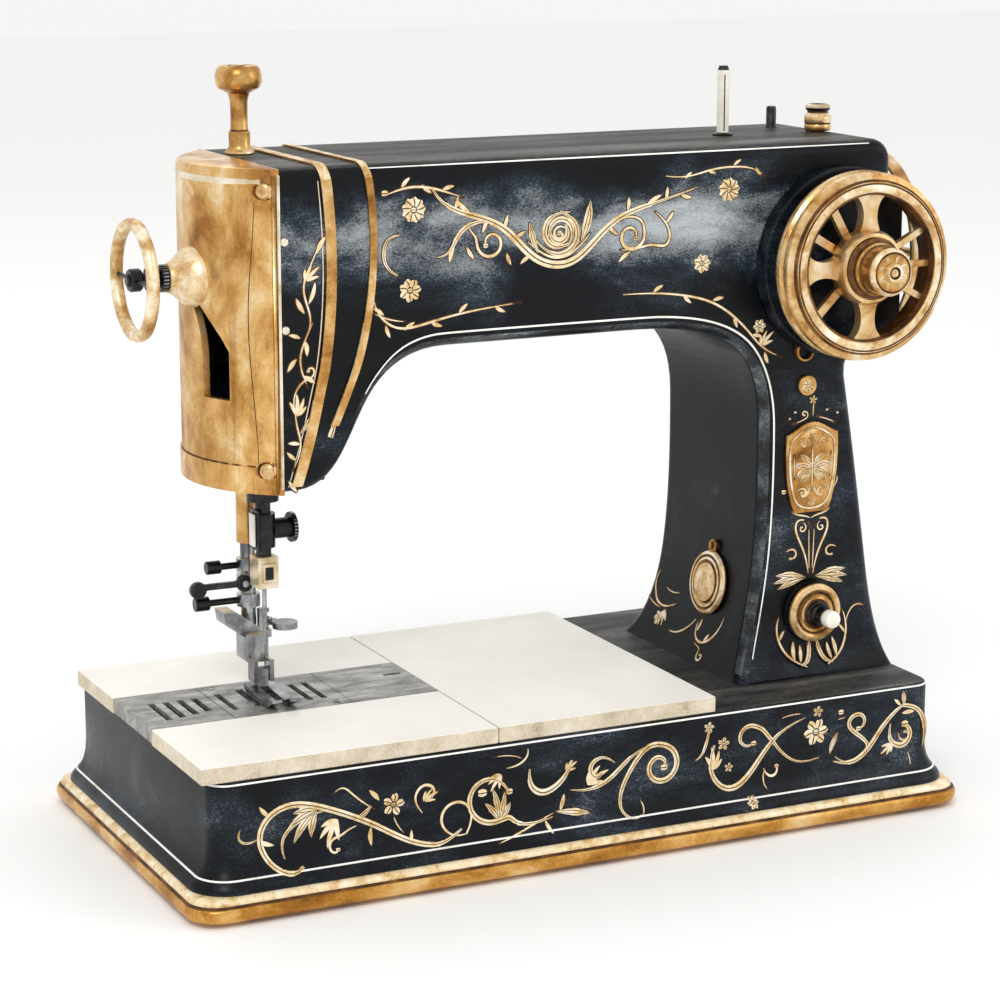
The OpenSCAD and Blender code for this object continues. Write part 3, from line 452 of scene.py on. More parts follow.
def round_loop(
    bm: bmesh.types.BMesh, length: float, depth: float, corner: float, height: float, steps: int = 10
) -> list[bmesh.types.BMEdge]:
    """Makes a level rectangle with round corners as a loop of edges.

    Args:
        bm: the mesh.
        length: along X.
        depth: along Y.
        corner: corner radius.
        height: its Z.
        steps: vertices in each corner.

    Returns:
        The loop's edges.
    """
    turn = Matrix.Rotation(math.radians(45 / steps), 4, "Z")
    made = bmesh.ops.create_circle(bm, cap_ends=False, radius=corner * MM, segments=4 * steps, matrix=turn)
    for v in made["verts"]:
        v.co.x += math.copysign(length / 2 - corner, v.co.x) * MM
        v.co.y += math.copysign(depth / 2 - corner, v.co.y) * MM
        v.co.z = height * MM
    return list({e for v in made["verts"] for e in v.link_edges})


def turned(profile: Sequence[tuple], centre: Vector, axis: Vector, steps: int = 64) -> bmesh.types.BMesh:
    """Turns a profile round an axis, as on a lathe.

    Args:
        profile: (radius, distance along the axis) in millimetres, and after them, if wanted, the
            number of the finish from that point on.
        centre: the axis's zero point, in metres.
        axis: the axis's direction.
        steps: segments round the turn.

    Returns:
        The turned mesh, closed where the profile meets the axis.
    """
    bm = bmesh.new()
    axis = axis.normalized()
    side = axis.orthogonal().normalized()
    verts = [bm.verts.new(centre + side * (p[0] * MM) + axis * (p[1] * MM)) for p in profile]
    edges = [bm.edges.new(pair) for pair in zip(verts, verts[1:])]
    bmesh.ops.spin(
        bm, geom=[*verts, *edges], cent=centre, axis=axis, angle=2 * math.pi, steps=steps,
        use_merge=True, use_duplicate=False,
    )
    bmesh.ops.remove_doubles(bm, verts=bm.verts, dist=1e-6)
    bmesh.ops.recalc_face_normals(bm, faces=bm.faces)
    marks = [p[2] if len(p) > 2 else 0 for p in profile]
    if any(marks):
        for face in bm.faces:
            middle = face.calc_center_median() - centre
            along = middle.dot(axis) / MM
            radius = (middle - axis * middle.dot(axis)).length / MM
            face.material_index = min(
                range(len(profile) - 1),
                key=lambda i: (profile[i][0] + profile[i + 1][0] - 2 * radius) ** 2
                + (profile[i][1] + profile[i + 1][1] - 2 * along) ** 2,
            )
        for face in bm.faces:
            face.material_index = marks[face.material_index]
    return bm


def publish(
    bm: bmesh.types.BMesh | bpy.types.Mesh, name: str, body: str, finishes: Sequence[Finish],
    stands_for: Sequence[str] = (), soften: float = 0.0, crease: float = 32.0,
) -> bpy.types.Object:
    """Makes a finished piece of a mesh, fixes it to a body of the machine and reports it.

    Args:
        bm: the mesh, in metres, in place.
        name: the piece's name.
        body: the body that it moves with.
        finishes: its finishes, in the order of the faces' numbers.
        stands_for: the model's nodes that it replaces.
        soften: radius of the small round on every sharp edge, in millimetres.
        crease: edges sharper than this, in degrees, stay crisp.

    Returns:
        The piece.
    """
    if isinstance(bm, bmesh.types.BMesh):
        mesh = bpy.data.meshes.new(name)
        bm.to_mesh(mesh)
        bm.free()
    else:
        mesh = bm
        mesh.name = name
    piece = bpy.data.objects.new(name, mesh)
    bpy.context.scene.collection.objects.link(piece)
    for finish in finishes:
        mesh.materials.append(finish.material())
    mesh.shade_smooth()
    mesh.set_sharp_from_angle(angle=math.radians(crease))
    if soften:
        edge = piece.modifiers.new("edge_round", "BEVEL")
        edge.width, edge.segments, edge.limit_method = soften * MM, 2, "ANGLE"
        edge.angle_limit, edge.harden_normals = math.radians(crease), True
    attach(piece, body)
    if stands_for:
        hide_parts(*stands_for)
    LOG.info("%s: %d faces on %s", name, len(mesh.polygons), body)
    return piece


def model_copy(node: str) -> bmesh.types.BMesh:
    """Copies a node of the model, joined up and with its flat faces made whole.

    Args:
        node: the node's name.

    Returns:
        The copy.
    """
    bm = bmesh.new()
    bm.from_mesh(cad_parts[node].data)
    bmesh.ops.remove_doubles(bm, verts=bm.verts, dist=1e-6)
    bmesh.ops.dissolve_limit(
        bm, angle_limit=math.radians(0.6), verts=bm.verts, edges=bm.edges, use_dissolve_boundaries=False
    )
    for face in bm.faces:
        face.material_index = 0
    return bm


def refine(
    node: str, body: str, finish: Finish, soften: float = 0.3, other: Finish | None = None,
    where: Callable[[bmesh.types.BMFace], bool] | None = None,
) -> bpy.types.Object:
    """Replaces a node with its own shape, its edges softened, in one or two finishes.

    Args:
        node: the node.
        body: its body.
        finish: the main finish.
        soften: edge round in millimetres.
        other: a second finish.
        where: says which faces take the second finish.

    Returns:
        The piece.
    """
    bm = model_copy(node)
    if other and where:
        for face in bm.faces:
            face.material_index = int(where(face))
    return publish(bm, f"{node}_finished", body, [finish, other] if other else [finish], [node], soften)


# ---------------------------------------------------------------- gilt ornament


class Hand(Enum):
    """Which way a curl winds, seen from in front."""

    LEFT = 1
    RIGHT = -1


@dataclass
class Brush:
    """Lays raised strokes on a surface, as a gilder does with a loaded brush.

    The strokes are drawn flat, in millimetres across and up, and then laid on the surface.
    """

    name: str
    body: str
    lay: Callable[[float, float, float], Vector]
    finish: Finish = GILT
    flatten: float = 0.32
    outline: float = 0.45
    curve: bpy.types.Curve = field(init=False)
    shade: bpy.types.Curve = field(init=False)

    def __post_init__(self) -> None:
        """Starts the drawing and, where outlined, the darker drawing of its outline, also a painted shadow,
        and veins.
        """
        self.curve = self._blank(self.name)
        self.shade = self._blank(self.name + "_shade")

    @staticmethod
    def _blank(name: str) -> bpy.types.Curve:
        """Makes an empty drawing of round strokes.

        Args:
            name: the drawing's name.

        Returns:
            The drawing, with nothing in it yet.
        """
        made = bpy.data.curves.new(name, "CURVE")
        made.dimensions = "3D"
        made.bevel_depth = 1.0
        made.bevel_resolution = 1
        made.resolution_u = 4
        made.use_fill_caps = True
        return made

    def stroke(self, points: Sequence[Point2], width: float, start: float = 0.25, end: float = 0.25) -> None:
        """Draws one stroke that swells from its start and thins towards its end.

        Args:
            points: where it goes.
            width: full width at its middle.
            start: share of the width at its start.
            end: share of the width at its end.
        """
        last = max(len(points) - 1, 1)
        reach = []
        for i in range(len(points)):
            t = i / last
            edge = start + (end - start) * t
            swell = math.sin(math.pi * t) ** 0.8 if 0 < t < 1 else 0.0
            reach.append(width / 2 * (edge + (1 - edge) * swell))
        self._spline(self.curve, points, reach, [0.0] * len(points))
        if self.outline:
            # A wider, lower dark copy of the stroke: its outline, and a painted shadow round it
            low = [-0.55 * (r + self.outline) for r in reach]
            self._spline(self.shade, points, [r + self.outline for r in reach], low)
            if width > 1.9:
                self._spline(self.shade, points, [0.16 * r for r in reach], [0.98 * r for r in reach])

    @staticmethod
    def _spline(
        drawing: bpy.types.Curve, points: Sequence[Point2], reach: Sequence[float], lift: Sequence[float]
    ) -> None:
        """Adds one smooth line to a drawing.

        Args:
            drawing: the drawing.
            points: where the line goes.
            reach: its radius at each point.
            lift: its height over the drawing's plane at each point.
        """
        line = drawing.splines.new("NURBS")
        line.points.add(len(points) - 1)
        for knot, (u, v), radius, height in zip(line.points, points, reach, lift):
            knot.co = (u, v, height, 1.0)
            knot.radius = radius
        line.use_endpoint_u = True
        line.order_u = min(4, len(points))

    def curl(
        self, at: Point2, radius: float, turns: float, start: float, hand: Hand = Hand.LEFT,
        width: float = 1.8,
        lead: Sequence[Point2] = (), inner: float = 0.12, bead: bool = True,
    ) -> None:
        """Draws a spiral, with a stem that leads into it and a bead in its eye.

        Args:
            at: its centre.
            radius: its outer radius.
            turns: how many turns it makes inwards.
            start: the angle where it begins, in degrees anticlockwise from the right.
            hand: which way it winds.
            width: full width of the stroke.
            lead: points of the stem before it.
            inner: share of the radius left at the eye.
            bead: ends in a round bead.
        """
        count = max(int(turns * 8), 4)
        points = list(lead)
        for i in range(count + 1):
            t = i / count
            r = radius * (1 - (1 - inner) * t**1.15)
            a = math.radians(start + hand.value * 360 * turns * t)
            points.append((at[0] + r * math.cos(a), at[1] + r * math.sin(a)))
        self.stroke(points, width, 0.3, 0.55)
        if bead:
            self.bead(points[-1], width * 0.75)

    def bead(self, at: Point2, radius: float) -> None:
        """Draws a round dot."""
        self.stroke([(at[0] - radius * 0.8, at[1]), at, (at[0] + radius * 0.8, at[1])], radius * 2, 0.45,
            0.45)

    def leaf(self, at: Point2, angle: float, length: float, width: float, bend: float = 0.25) -> None:
        """Draws a pointed leaf as two lobes that share a rib.

        Args:
            at: its root.
            angle: where it points, in degrees anticlockwise from the right.
            length: from root to tip.
            width: its widest.
            bend: how far it curls sideways, as a share of its length.
        """
        a = math.radians(angle)
        along, side = Vector((math.cos(a), math.sin(a))), Vector((-math.sin(a), math.cos(a)))
        for offset in (-0.22, 0.22):
            points = []
            for t in (0.0, 0.3, 0.6, 0.85, 1.0):
                out = math.sin(math.pi * min(t * 1.1, 1)) * offset * width
                p = Vector(at) + along * (length * t) + side * (bend * length * t * t + out)
                points.append((p.x, p.y))
            self.stroke(points, width * 0.56, 0.25, 0.1)

    def acanthus(self, at: Point2, angle: float, size: float, hand: Hand = Hand.LEFT) -> None:
        """Draws a spray of four leaves that fan out and curl over to one side.

        Args:
            at: its root.
            angle: where its middle points, in degrees.
            size: length of its longest leaf.
            hand: the side that it curls to.
        """
        for turn, share in ((-38, 0.62), (-13, 0.86), (12, 1.0), (38, 0.7)):
            self.leaf(at, angle + hand.value * turn, size * share, size * 0.26, hand.value * 0.35)

    def blossom(self, at: Point2, radius: float, petals: int = 6) -> None:
        """Draws a small open flower with a button in its middle.

        Args:
            at: its centre.
            radius: its outside radius.
            petals: how many petals.
        """
        for i in range(petals):
            a = 2 * math.pi * i / petals
            root = (at[0] + 0.3 * radius * math.cos(a), at[1] + 0.3 * radius * math.sin(a))
            tip = (at[0] + radius * math.cos(a + 0.22), at[1] + radius * math.sin(a + 0.22))
            middle = (at[0] + 0.7 * radius * math.cos(a + 0.04), at[1] + 0.7 * radius * math.sin(a + 0.04))
            self.stroke([root, middle, tip], radius * 0.95, 0.35, 0.45)
        self.bead(at, radius * 0.26)

    def vine(self, points: Sequence[Point2], width: float, leaves: float, every: int = 1) -> None:
        """Draws a stem with small leaves to each side in turn.

        Args:
            points: where the stem goes.
            width: its full width.
            leaves: length of a leaf.
            every: draws a leaf at each this many points.
        """
        self.stroke(points, width, 0.4, 0.2)
        for i in range(every, len(points) - 1, every):
            (x0, y0), (x1, y1) = points[i - 1], points[i + 1]
            heading = math.degrees(math.atan2(y1 - y0, x1 - x0))
            side = 1 if (i // every) % 2 else -1
            self.leaf(points[i], heading + side * 48, leaves, leaves * 0.42, -side * 0.25)

    def finish_piece(self) -> None:
        """Turns the drawings into pieces on the surface."""
        self._lay_down(self.curve, self.name, self.finish)
        if self.outline:
            self._lay_down(self.shade, self.name + "_outline", GILT_SHADE)

    def _lay_down(self, curve: bpy.types.Curve, name: str, finish: Finish) -> None:
        """Turns one drawing into a mesh, lays it on the surface and publishes it.

        Args:
            curve: the drawing.
            name: the piece's name.
            finish: its finish.
        """
        drawing = bpy.data.objects.new(name + "_drawing", curve)
        bpy.context.scene.collection.objects.link(drawing)
        mesh = bpy.data.meshes.new_from_object(drawing.evaluated_get(bpy.context.evaluated_depsgraph_get()))
        bpy.data.objects.remove(drawing)
        bpy.data.curves.remove(curve)
        for v in mesh.vertices:
            v.co = self.lay(v.co.x, v.co.y, v.co.z * self.flatten)
        bm = bmesh.new()
        bm.from_mesh(mesh)
        bpy.data.meshes.remove(mesh)
        bmesh.ops.recalc_face_normals(bm, faces=bm.faces)
        publish(bm, name, self.body, [finish], crease=60)


# ---------------------------------------------------------------- base


@dataclass
class Base:
    """The plinth moulding, the cast base, its feet and its gilded front."""

    length: float = 374.0
    depth: float = 186.0
    corner: float = 10.0
    top: float = 62.0
    wall: float = 4.5
    # Left, right, front and back of the well that the steel plates cover
    well: tuple[float, float, float, float] = (-150.0, -66.0, -24.0, 26.0)
    # How far the side stands out at each height, from the top edge down to the flared foot
    side: tuple[Point2, ...] = (
        (62.0, -2.4), (61.7, -1.2), (61.0, -0.4), (60.0, 0.0), (34.0, 0.0), (28.0, 0.5), (23.5, 1.6),
        (20.2, 3.4), (17.8, 5.6), (16.0, 7.2), (14.6, 8.0), (13.2, 8.2),
    )
    # Half round of the moulding: how far it stands in from its widest, at each height
    moulding: tuple[Point2, ...] = (
        (2.0, 2.6), (2.6, 1.2), (3.8, 0.4), (5.5, 0.0), (7.6, 0.2), (8.8, 0.9), (9.1, 1.9), (9.5, 2.2),
        (9.9, 2.0), (11.0, 2.2), (12.0, 3.0), (12.8, 4.6), (13.0, 6.4),
    )

    def build(self) -> None:
        """Makes every piece of the base."""
        self._body()
        self._moulding()
        self._pin_lines()
        self._front_scroll()

    def reach(self, height: float) -> float:
        """Returns how far the side stands out at a height."""
        return reading([(out, z) for z, out in self.side], height)

    def _body(self) -> None:
        """The cast body: a flared side, a flat deck and an open underside."""
        bm = bmesh.new()
        loops = [
            round_loop(bm, self.length + 2 * out, self.depth + 2 * out, self.corner + max(out, -2), z)
            for z, out in self.side
        ]
        for upper, lower in zip(loops, loops[1:]):
            bmesh.ops.bridge_loops(bm, edges=[*upper, *lower])
        bmesh.ops.contextual_create(bm, geom=loops[0])
        bmesh.ops.recalc_face_normals(bm, faces=bm.faces)
        deck = max(bm.faces, key=lambda f: f.calc_area())
        if deck.normal.z < 0:
            bmesh.ops.reverse_faces(bm, faces=bm.faces)
        self._open_well(bm)
        bmesh.ops.solidify(bm, geom=bm.faces, thickness=self.wall * MM)
        for face in bm.faces:
            high = face.calc_center_median().z > (self.top - 1) * MM
            face.material_index = int(high and face.normal.z > 0.9)
        publish(bm, "cast_base", "frame", [ENAMEL, ENAMEL_TOP], ["base_casting"], crease=40)

    def _open_well(self, bm: bmesh.types.BMesh) -> None:
        """Cuts the well for the hook and the needle out of the deck.

        Args:
            bm: the base before its wall has a thickness.
        """
        left, right, front, back = self.well
        across = [(mm(x, 0, 0), (1, 0, 0)) for x in (left, right)]
        along = [(mm(0, y, 0), (0, 1, 0)) for y in (front, back)]
        for place, normal in [*across, *along]:
            bm.normal_update()
            deck = [f for f in bm.faces if f.normal.z > 0.99]
            edges = [e for e in bm.edges if any(f.normal.z > 0.99 for f in e.link_faces)]
            verts = [v for v in bm.verts if any(f.normal.z > 0.99 for f in v.link_faces)]
            bmesh.ops.bisect_plane(bm, geom=[*verts, *edges, *deck], plane_co=place, plane_no=normal)
        bm.normal_update()
        inside = []
        for face in bm.faces:
            at = face.calc_center_median() / MM
            if face.normal.z > 0.99 and left < at.x < right and front < at.y < back:
                inside.append(face)
        bmesh.ops.delete(bm, geom=inside, context="FACES")

    def _moulding(self) -> None:
        """The gold moulding round the foot, with a painted highlight along its top."""
        low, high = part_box("plinth_moulding")
        length, depth = ((high - low) / MM).xy
        bm = bmesh.new()
        loops = [
            round_loop(bm, length - 2 * back, depth - 2 * back, 15 - 0.6 * back, z)
            for z, back in self.moulding
        ]
        loops.append(round_loop(bm, self.length - 4, self.depth - 4, 9, self.moulding[-1][0]))
        loops.append(round_loop(bm, self.length - 4, self.depth - 4, 9, self.moulding[0][0]))
        for a, b in zip(loops, [*loops[1:], loops[0]]):
            bmesh.ops.bridge_loops(bm, edges=[*a, *b])
        bmesh.ops.recalc_face_normals(bm, faces=bm.faces)
        # The groove is browned, and the upper round takes the paler gilt as a painted highlight
        for face in bm.faces:
            z = face.calc_center_median().z / MM
            face.material_index = 1 if 8.8 < z < 9.9 else 2 if z >= 9.9 else 0
        publish(bm, "gold_moulding", "frame", [MOULDING, BRASS_DARK, GILT], ["plinth_moulding"], crease=50)

    def _pin_lines(self) -> None:
        """Ivory lines round the top edge and just over the flare."""
        for name, height, width in (("upper", 60.6, 0.4), ("lower", 18.6, 0.36)):
            bm = bmesh.new()
            loops = []
            for lift, proud in ((-width, 0.0), (-width * 0.6, 0.22), (width * 0.6, 0.22), (width, 0.0)):
                out = self.reach(height + lift) + proud
                loops.append(
                    round_loop(
                        bm, self.length + 2 * out, self.depth + 2 * out, self.corner + max(out, -2),
                        height + lift
                    )
                )
            for a, b in zip(loops, loops[1:]):
                bmesh.ops.bridge_loops(bm, edges=[*a, *b])
            bmesh.ops.recalc_face_normals(bm, faces=bm.faces)
            publish(bm, f"base_pin_line_{name}", "frame", [PINLINE], crease=60)

    def _front_scroll(self) -> None:
        """The gilt scroll along the front, from left to right."""
        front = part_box("base_casting")[0].y / MM + 4.0
        brush = Brush("base_front_scroll", "frame",
            lambda u, v, w: mm(u, front - self.reach(v) - w + 0.05, v))
        # Left: a great curl with acanthus inside, whose stem sweeps down to the middle
        brush.stroke([(-174, 40), (-177, 35), (-172, 31), (-165, 35)], 2.0)
        brush.stroke(
            [(-146, 20), (-150, 17), (-158, 19), (-164, 27), (-166, 36), (-161, 45), (-150, 49), (-138, 46),
                (-124, 40),
             (-110, 33), (-98, 25), (-86, 20), (-76, 20), (-68, 25)], 3.0, 0.5, 0.4)
        brush.acanthus((-138, 44), 200, 17, Hand.LEFT)
        brush.acanthus((-128, 38), 215, 13, Hand.LEFT)
        brush.stroke([(-154, 24), (-156, 31), (-152, 38), (-143, 42), (-134, 43)], 2.2)
        brush.curl((-129, 25), 6, 0.7, 60, Hand.LEFT, 1.6, lead=[(-118, 34), (-123, 33)])
        brush.stroke([(-130, 50), (-126, 54), (-122, 50), (-116, 44), (-110, 40)], 1.3)
        brush.blossom((-101, 41), 5.0, 5)
        brush.stroke([(-101, 36), (-100, 31), (-96, 27)], 1.3)
        brush.leaf((-108, 44), 120, 7, 3, 0.2)
        brush.leaf((-120, 36), 20, 10, 3.4, 0.3)
        brush.leaf((-112, 32), -110, 8, 3.0, 0.3)
        brush.leaf((-160, 44), 150, 7, 2.8, -0.3)
        brush.leaf((-166, 34), -40, 8, 3.0, 0.3)
        brush.leaf((-94, 22), 60, 6, 2.4, 0.3)
        # Middle: an oval loop, a ring and the large curl with a pearl
        brush.curl((-84, 43), 8.5, 0.95, 250, Hand.RIGHT, 1.8, bead=False)
        brush.acanthus((-86, 40), 60, 8, Hand.RIGHT)
        brush.curl((-70, 30), 8.5, 1.0, 300, Hand.RIGHT, 1.8, inner=0.98, bead=False)
        brush.curl((-53, 37), 13.5, 0.86, 320, Hand.RIGHT, 2.6, lead=[(-22, 24), (-32, 22), (-42, 23)],
            inner=0.72)
        brush.bead((-57, 40), 2.6)
        brush.acanthus((-49, 26), 70, 15, Hand.LEFT)
        brush.acanthus((-47, 47), 200, 9, Hand.LEFT)
        brush.stroke([(-45, 50), (-38, 50), (-33, 53), (-34, 58)], 1.8)
        brush.stroke([(-52, 56), (-42, 57), (-36, 53)], 1.2)
        brush.stroke([(-52, 17), (-40, 19), (-30, 23), (-20, 26)], 1.5)
        brush.leaf((-20, 26), -6, 18, 4, -0.06)
        brush.leaf((-18, 26), 60, 8, 3, 0.2)
        brush.leaf((-26, 23), -80, 6, 2.6)
        # A sickle leaf, then the crossing stems
        brush.stroke([(-33, 48), (-34, 41), (-29, 35), (-21, 36), (-14, 42), (-11, 49)], 3.4, 0.3, 0.2)
        brush.acanthus((-14, 44), 70, 7, Hand.RIGHT)
        brush.curl((3, 42), 8.5, 0.9, 20, Hand.LEFT, 2.4, bead=False)
        brush.acanthus((-3, 36), 60, 12, Hand.RIGHT)
        brush.stroke([(-12, 35), (-4, 33), (6, 35), (14, 42), (22, 49), (31, 51)], 2.4)
        brush.curl((35, 40), 11.5, 1.35, 100, Hand.RIGHT, 2.8,
            lead=[(24, 19), (17, 17), (12, 22), (14, 31), (20, 42), (27, 50)], inner=0.2)
        brush.stroke([(24, 19), (26, 22), (24, 25)], 1.6)
        brush.stroke([(54, 40), (58, 41), (60, 47), (61, 54)], 2.2, 0.3, 0.6)
        brush.blossom((61, 55), 2.6, 5)
        # Right of the middle: a long S with its leafed head, crossed by a second stem
        brush.stroke(
            [(64, 46), (61, 38), (63, 29), (70, 23), (79, 25), (87, 33), (94, 43), (103, 50), (114, 53)], 2.8,
            0.5, 0.2)
        brush.acanthus((63, 34), 62, 11, Hand.LEFT)
        brush.blossom((69, 46), 3.0, 5)
        brush.blossom((72, 34), 2.2, 5)
        brush.curl((83, 47), 7.0, 0.75, 40, Hand.LEFT, 2.2,
            lead=[(122, 32), (112, 30), (104, 34), (97, 42), (91, 50)], inner=0.55)
        brush.curl((96, 30), 5.0, 0.6, 170, Hand.LEFT, 1.8, inner=0.5)
        brush.stroke([(92, 31), (89, 25), (92, 21)], 1.5)
        brush.blossom((82, 17), 2.8, 6)
        brush.blossom((120, 45), 6.2, 6)
        brush.blossom((121, 55), 2.6, 5)
        brush.stroke([(100, 54), (106, 56), (112, 55)], 1.4)
        brush.bead((134, 53), 1.7)
        brush.stroke([(131, 50), (134, 49), (138, 51)], 1.0)
        # Far right: a small curl, and the great curl that closes the run
        brush.leaf((128, 33), 78, 11, 3.6, -0.2)
        brush.curl((144, 46), 6.5, 0.8, 200, Hand.RIGHT, 2.2,
            lead=[(131, 31), (137, 26), (146, 28), (153, 35)], inner=0.4)
        brush.stroke([(130, 29), (138, 26), (147, 29), (154, 37), (160, 46), (169, 52)], 2.8, 0.3, 0.6)
        brush.stroke([(169, 52), (177, 51), (182, 45), (183, 37), (181, 29)], 2.4, 0.8, 0.15)
        brush.curl((169, 38), 8.5, 0.8, 140, Hand.LEFT, 3.0, inner=0.55)
        brush.curl((171, 37), 4.2, 0.8, 160, Hand.LEFT, 1.5, inner=0.3)
        brush.acanthus((163, 34), 250, 8, Hand.RIGHT)
        brush.leaf((170, 52), 90, 7, 3.4, 0.1)
        brush.leaf((168, 52), 130, 5, 2.4, 0.1)
        brush.leaf((176, 48), 170, 7, 3.0, 0.2)
        brush.stroke([(172, 29), (174, 25), (173, 21)], 1.2)
        brush.finish_piece()


# ---------------------------------------------------------------- bed


@dataclass
class Bed:
    """The cream bed plates and the steel plates of the channel."""

    edge: float = 0.55

    def build(self) -> None:
        """Makes every piece of the bed."""
        for node in ("bed_plate_right", "bed_plate_front", "bed_plate_rear"):
            refine(node, "frame", CREAM, self.edge, CREAM_EDGE, lambda f: abs(f.normal.z) < 0.5)
        refine("needle_plate", "frame", STEEL_PLATE, 0.25)
        refine("bed_cover_plate", "frame", STEEL_PLATE, 0.25)
        refine("slide_plate", "slide_plate", STEEL_PLATE, 0.25)
        self._seams()

    def _seams(self) -> None:
        """Dark oil that gathers in the joints between the plates."""
        bm = bmesh.new()
        right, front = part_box("bed_plate_right"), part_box("bed_plate_front")
        cover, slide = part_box("bed_cover_plate"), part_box("slide_plate")
        floor = front[1].z - 0.9 * MM
        gaps = [
            (Vector((front[1].x, front[0].y + MM, floor)),
                Vector((right[0].x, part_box("bed_plate_rear")[1].y - MM, floor))),
            (Vector((slide[0].x + MM, front[1].y, floor)), Vector((cover[1].x, cover[0].y, floor))),
            (Vector((slide[0].x + MM, cover[1].y, floor)),
                Vector((cover[1].x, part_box("bed_plate_rear")[0].y, floor))),
        ]
        for low, high in gaps:
            bmesh.ops.create_cube(
                bm, size=1.0,
                matrix=Matrix.Translation((low + high) / 2)
                @ Matrix.Diagonal((*(high - low).xy, 0.6 * MM, 1.0)),
            )
        publish(bm, "bed_seam_oil", "frame", [BRASS_DARK])


# ---------------------------------------------------------------- arm


@dataclass
class Arm:
    """The cast arm, head and pillar with their lines and gilding."""

    top: float = 322.0
    under: float = 238.0
    left: float = -134.0
    right: float = 183.0
    head_under: float = 177.0
    bed: float = 62.0
    half: float = 50.0
    waist: float = 48.0
    round_side: float = 6.0
    # Thickness of the head's open left end, and how far in it is hollow
    head_wall: float = 3.5
    head_hollow: float = 22.0
    foot_curve: list[Point2] = field(init=False)
    shoulder: list[Point2] = field(init=False)
    pillar_left: list[Point2] = field(init=False)
    arch_right: list[Point2] = field(init=False)
    arch_left: list[Point2] = field(init=False)

    def __post_init__(self) -> None:
        """Works out the curves that the ornament also follows."""
        self.foot_curve = [(60.0, self.bed),
            *cubic((60, self.bed), (50, 72), (self.waist, 90), (self.waist, 112), 12)]
        self.shoulder = [
            (self.waist, 212.0), *cubic((self.waist, 212), (self.waist, 227), (self.half, 227),
                (self.half, self.under), 6)
        ]
        self.pillar_left = [
            (114.0, 190.0), *cubic((114, 190), (115, 130), (112, 88), (96, self.bed), 16)
        ]
        self.arch_right = [(40.0, self.under),
            *cubic((40, self.under), (88, self.under), (113, 230), (114, 190), 18)]
        self.arch_left = [
            (-97.0, 204.0), *cubic((-97, 204), (-88, 222), (-80, self.under), (-52, self.under), 12)
        ]

    def depth_at(self, z: float) -> float:
        """Reads the half depth of the casting at a height.

        Args:
            z: the height.

        Returns:
            How far the front stands from the middle.
        """
        if z < 112:
            return reading(self.foot_curve, z)
        return reading(self.shoulder, z)

    def outline(self) -> list[Point2]:
        """Draws the casting as seen from the front.

        Returns:
            Its outline in X and Z.
        """
        left, right, under, top = self.left, self.right, self.under, self.top
        return [
            (left, self.head_under), (left + 9, self.head_under),
            *cubic((left + 9, self.head_under), (-110, self.head_under + 1), (-104, 190), (-97, 204), 10),
            *self.arch_left[1:], (40.0, under), *self.arch_right[1:], *self.pillar_left[1:],
            (187.0, self.bed), *cubic((187, self.bed), (180, 84), (176, 130), (162, 208), 16),
            *cubic((162, 208), (160, 226), (right, 228), (right, 250), 10),
            (right, top - 10), *cubic((right, top - 10), (right, top - 4.5), (right - 4.5, top),
                (right - 10, top), 6),
            (left, top),
        ]

    def build(self) -> None:
        """Makes every piece of the arm."""
        self._shell()
        self._edge_lines()
        self._gilding()
        self._bands()

    def _shell(self) -> None:
        """The hollow head, the arm and the pillar in one skin, and the round pad behind the wheel."""
        bm = bmesh.new()
        face = outline_face(bm, (mm(x, -self.half, z) for x, z in self.outline()))
        extrude_face(bm, face, mm(0, 2 * self.half, 0))
        bmesh.ops.recalc_face_normals(bm, faces=bm.faces)
        levels = [64, 66, 68.5, 71, 74, 78, 83, 89, 96, 104, 112, 212, 217, 222, 227, 232, 238]
        for z in levels:
            bmesh.ops.bisect_plane(
                bm, geom=[*bm.verts, *bm.edges, *bm.faces], dist=1e-7, plane_co=mm(0, 0, z),
                plane_no=(0, 0, 1)
            )
        for v in bm.verts:
            v.co.y = math.copysign(self.depth_at(v.co.z / MM) * MM, v.co.y)
        rims = [
            e for e in sharp_edges(bm, 45)
            if abs((e.verts[0].co - e.verts[1].co).normalized().y) < 0.9
            and max(v.co.z for v in e.verts) > (self.bed + 0.5) * MM
            and max(v.co.x for v in e.verts) > (self.left + 0.5) * MM
        ]
        round_edges(bm, rims, self.round_side, 5)
        self._open_head(bm)
        for f in bm.faces:
            f.material_index = self._finish_of(f)
        self._wheel_pad(bm)
        self._small_pads(bm)
        piece = publish(
            bm, "cast_arm", "frame", [ENAMEL_ARM, ENAMEL_TOP, ENAMEL_DEEP, ENAMEL, ENAMEL_RIM],
            ["arm_casting"],
            crease=38,
        )
        weigh = piece.modifiers.new("flat_faces_flat", "WEIGHTED_NORMAL")
        weigh.keep_sharp = True

    def _open_head(self, bm: bmesh.types.BMesh) -> None:
        """Hollows the head behind the face plate.

        Args:
            bm: the shell.
        """
        end = [f for f in bm.faces if f.normal.x < -0.99 and f.calc_center_median().x < (self.left + 1) * MM]
        bmesh.ops.inset_region(bm, faces=end, thickness=self.head_wall * MM, use_even_offset=True,
            use_boundary=True)
        pulled = bmesh.ops.extrude_face_region(bm, geom=end)
        verts = [g for g in pulled["geom"] if isinstance(g, bmesh.types.BMVert)]
        bmesh.ops.delete(bm, geom=end, context="FACES")
        bmesh.ops.translate(bm, verts=verts, vec=mm(self.head_hollow, 0, 0))

    def _finish_of(self, f: bmesh.types.BMFace) -> int:
        """Chooses the finish of a face: front, top, throat or pillar.

        Args:
            f: the face.

        Returns:
            The number of the finish in the casting's list.
        """
        at = f.calc_center_median() / MM
        if f.normal.z > 0.8 and at.z > self.top - 6:
            return 1
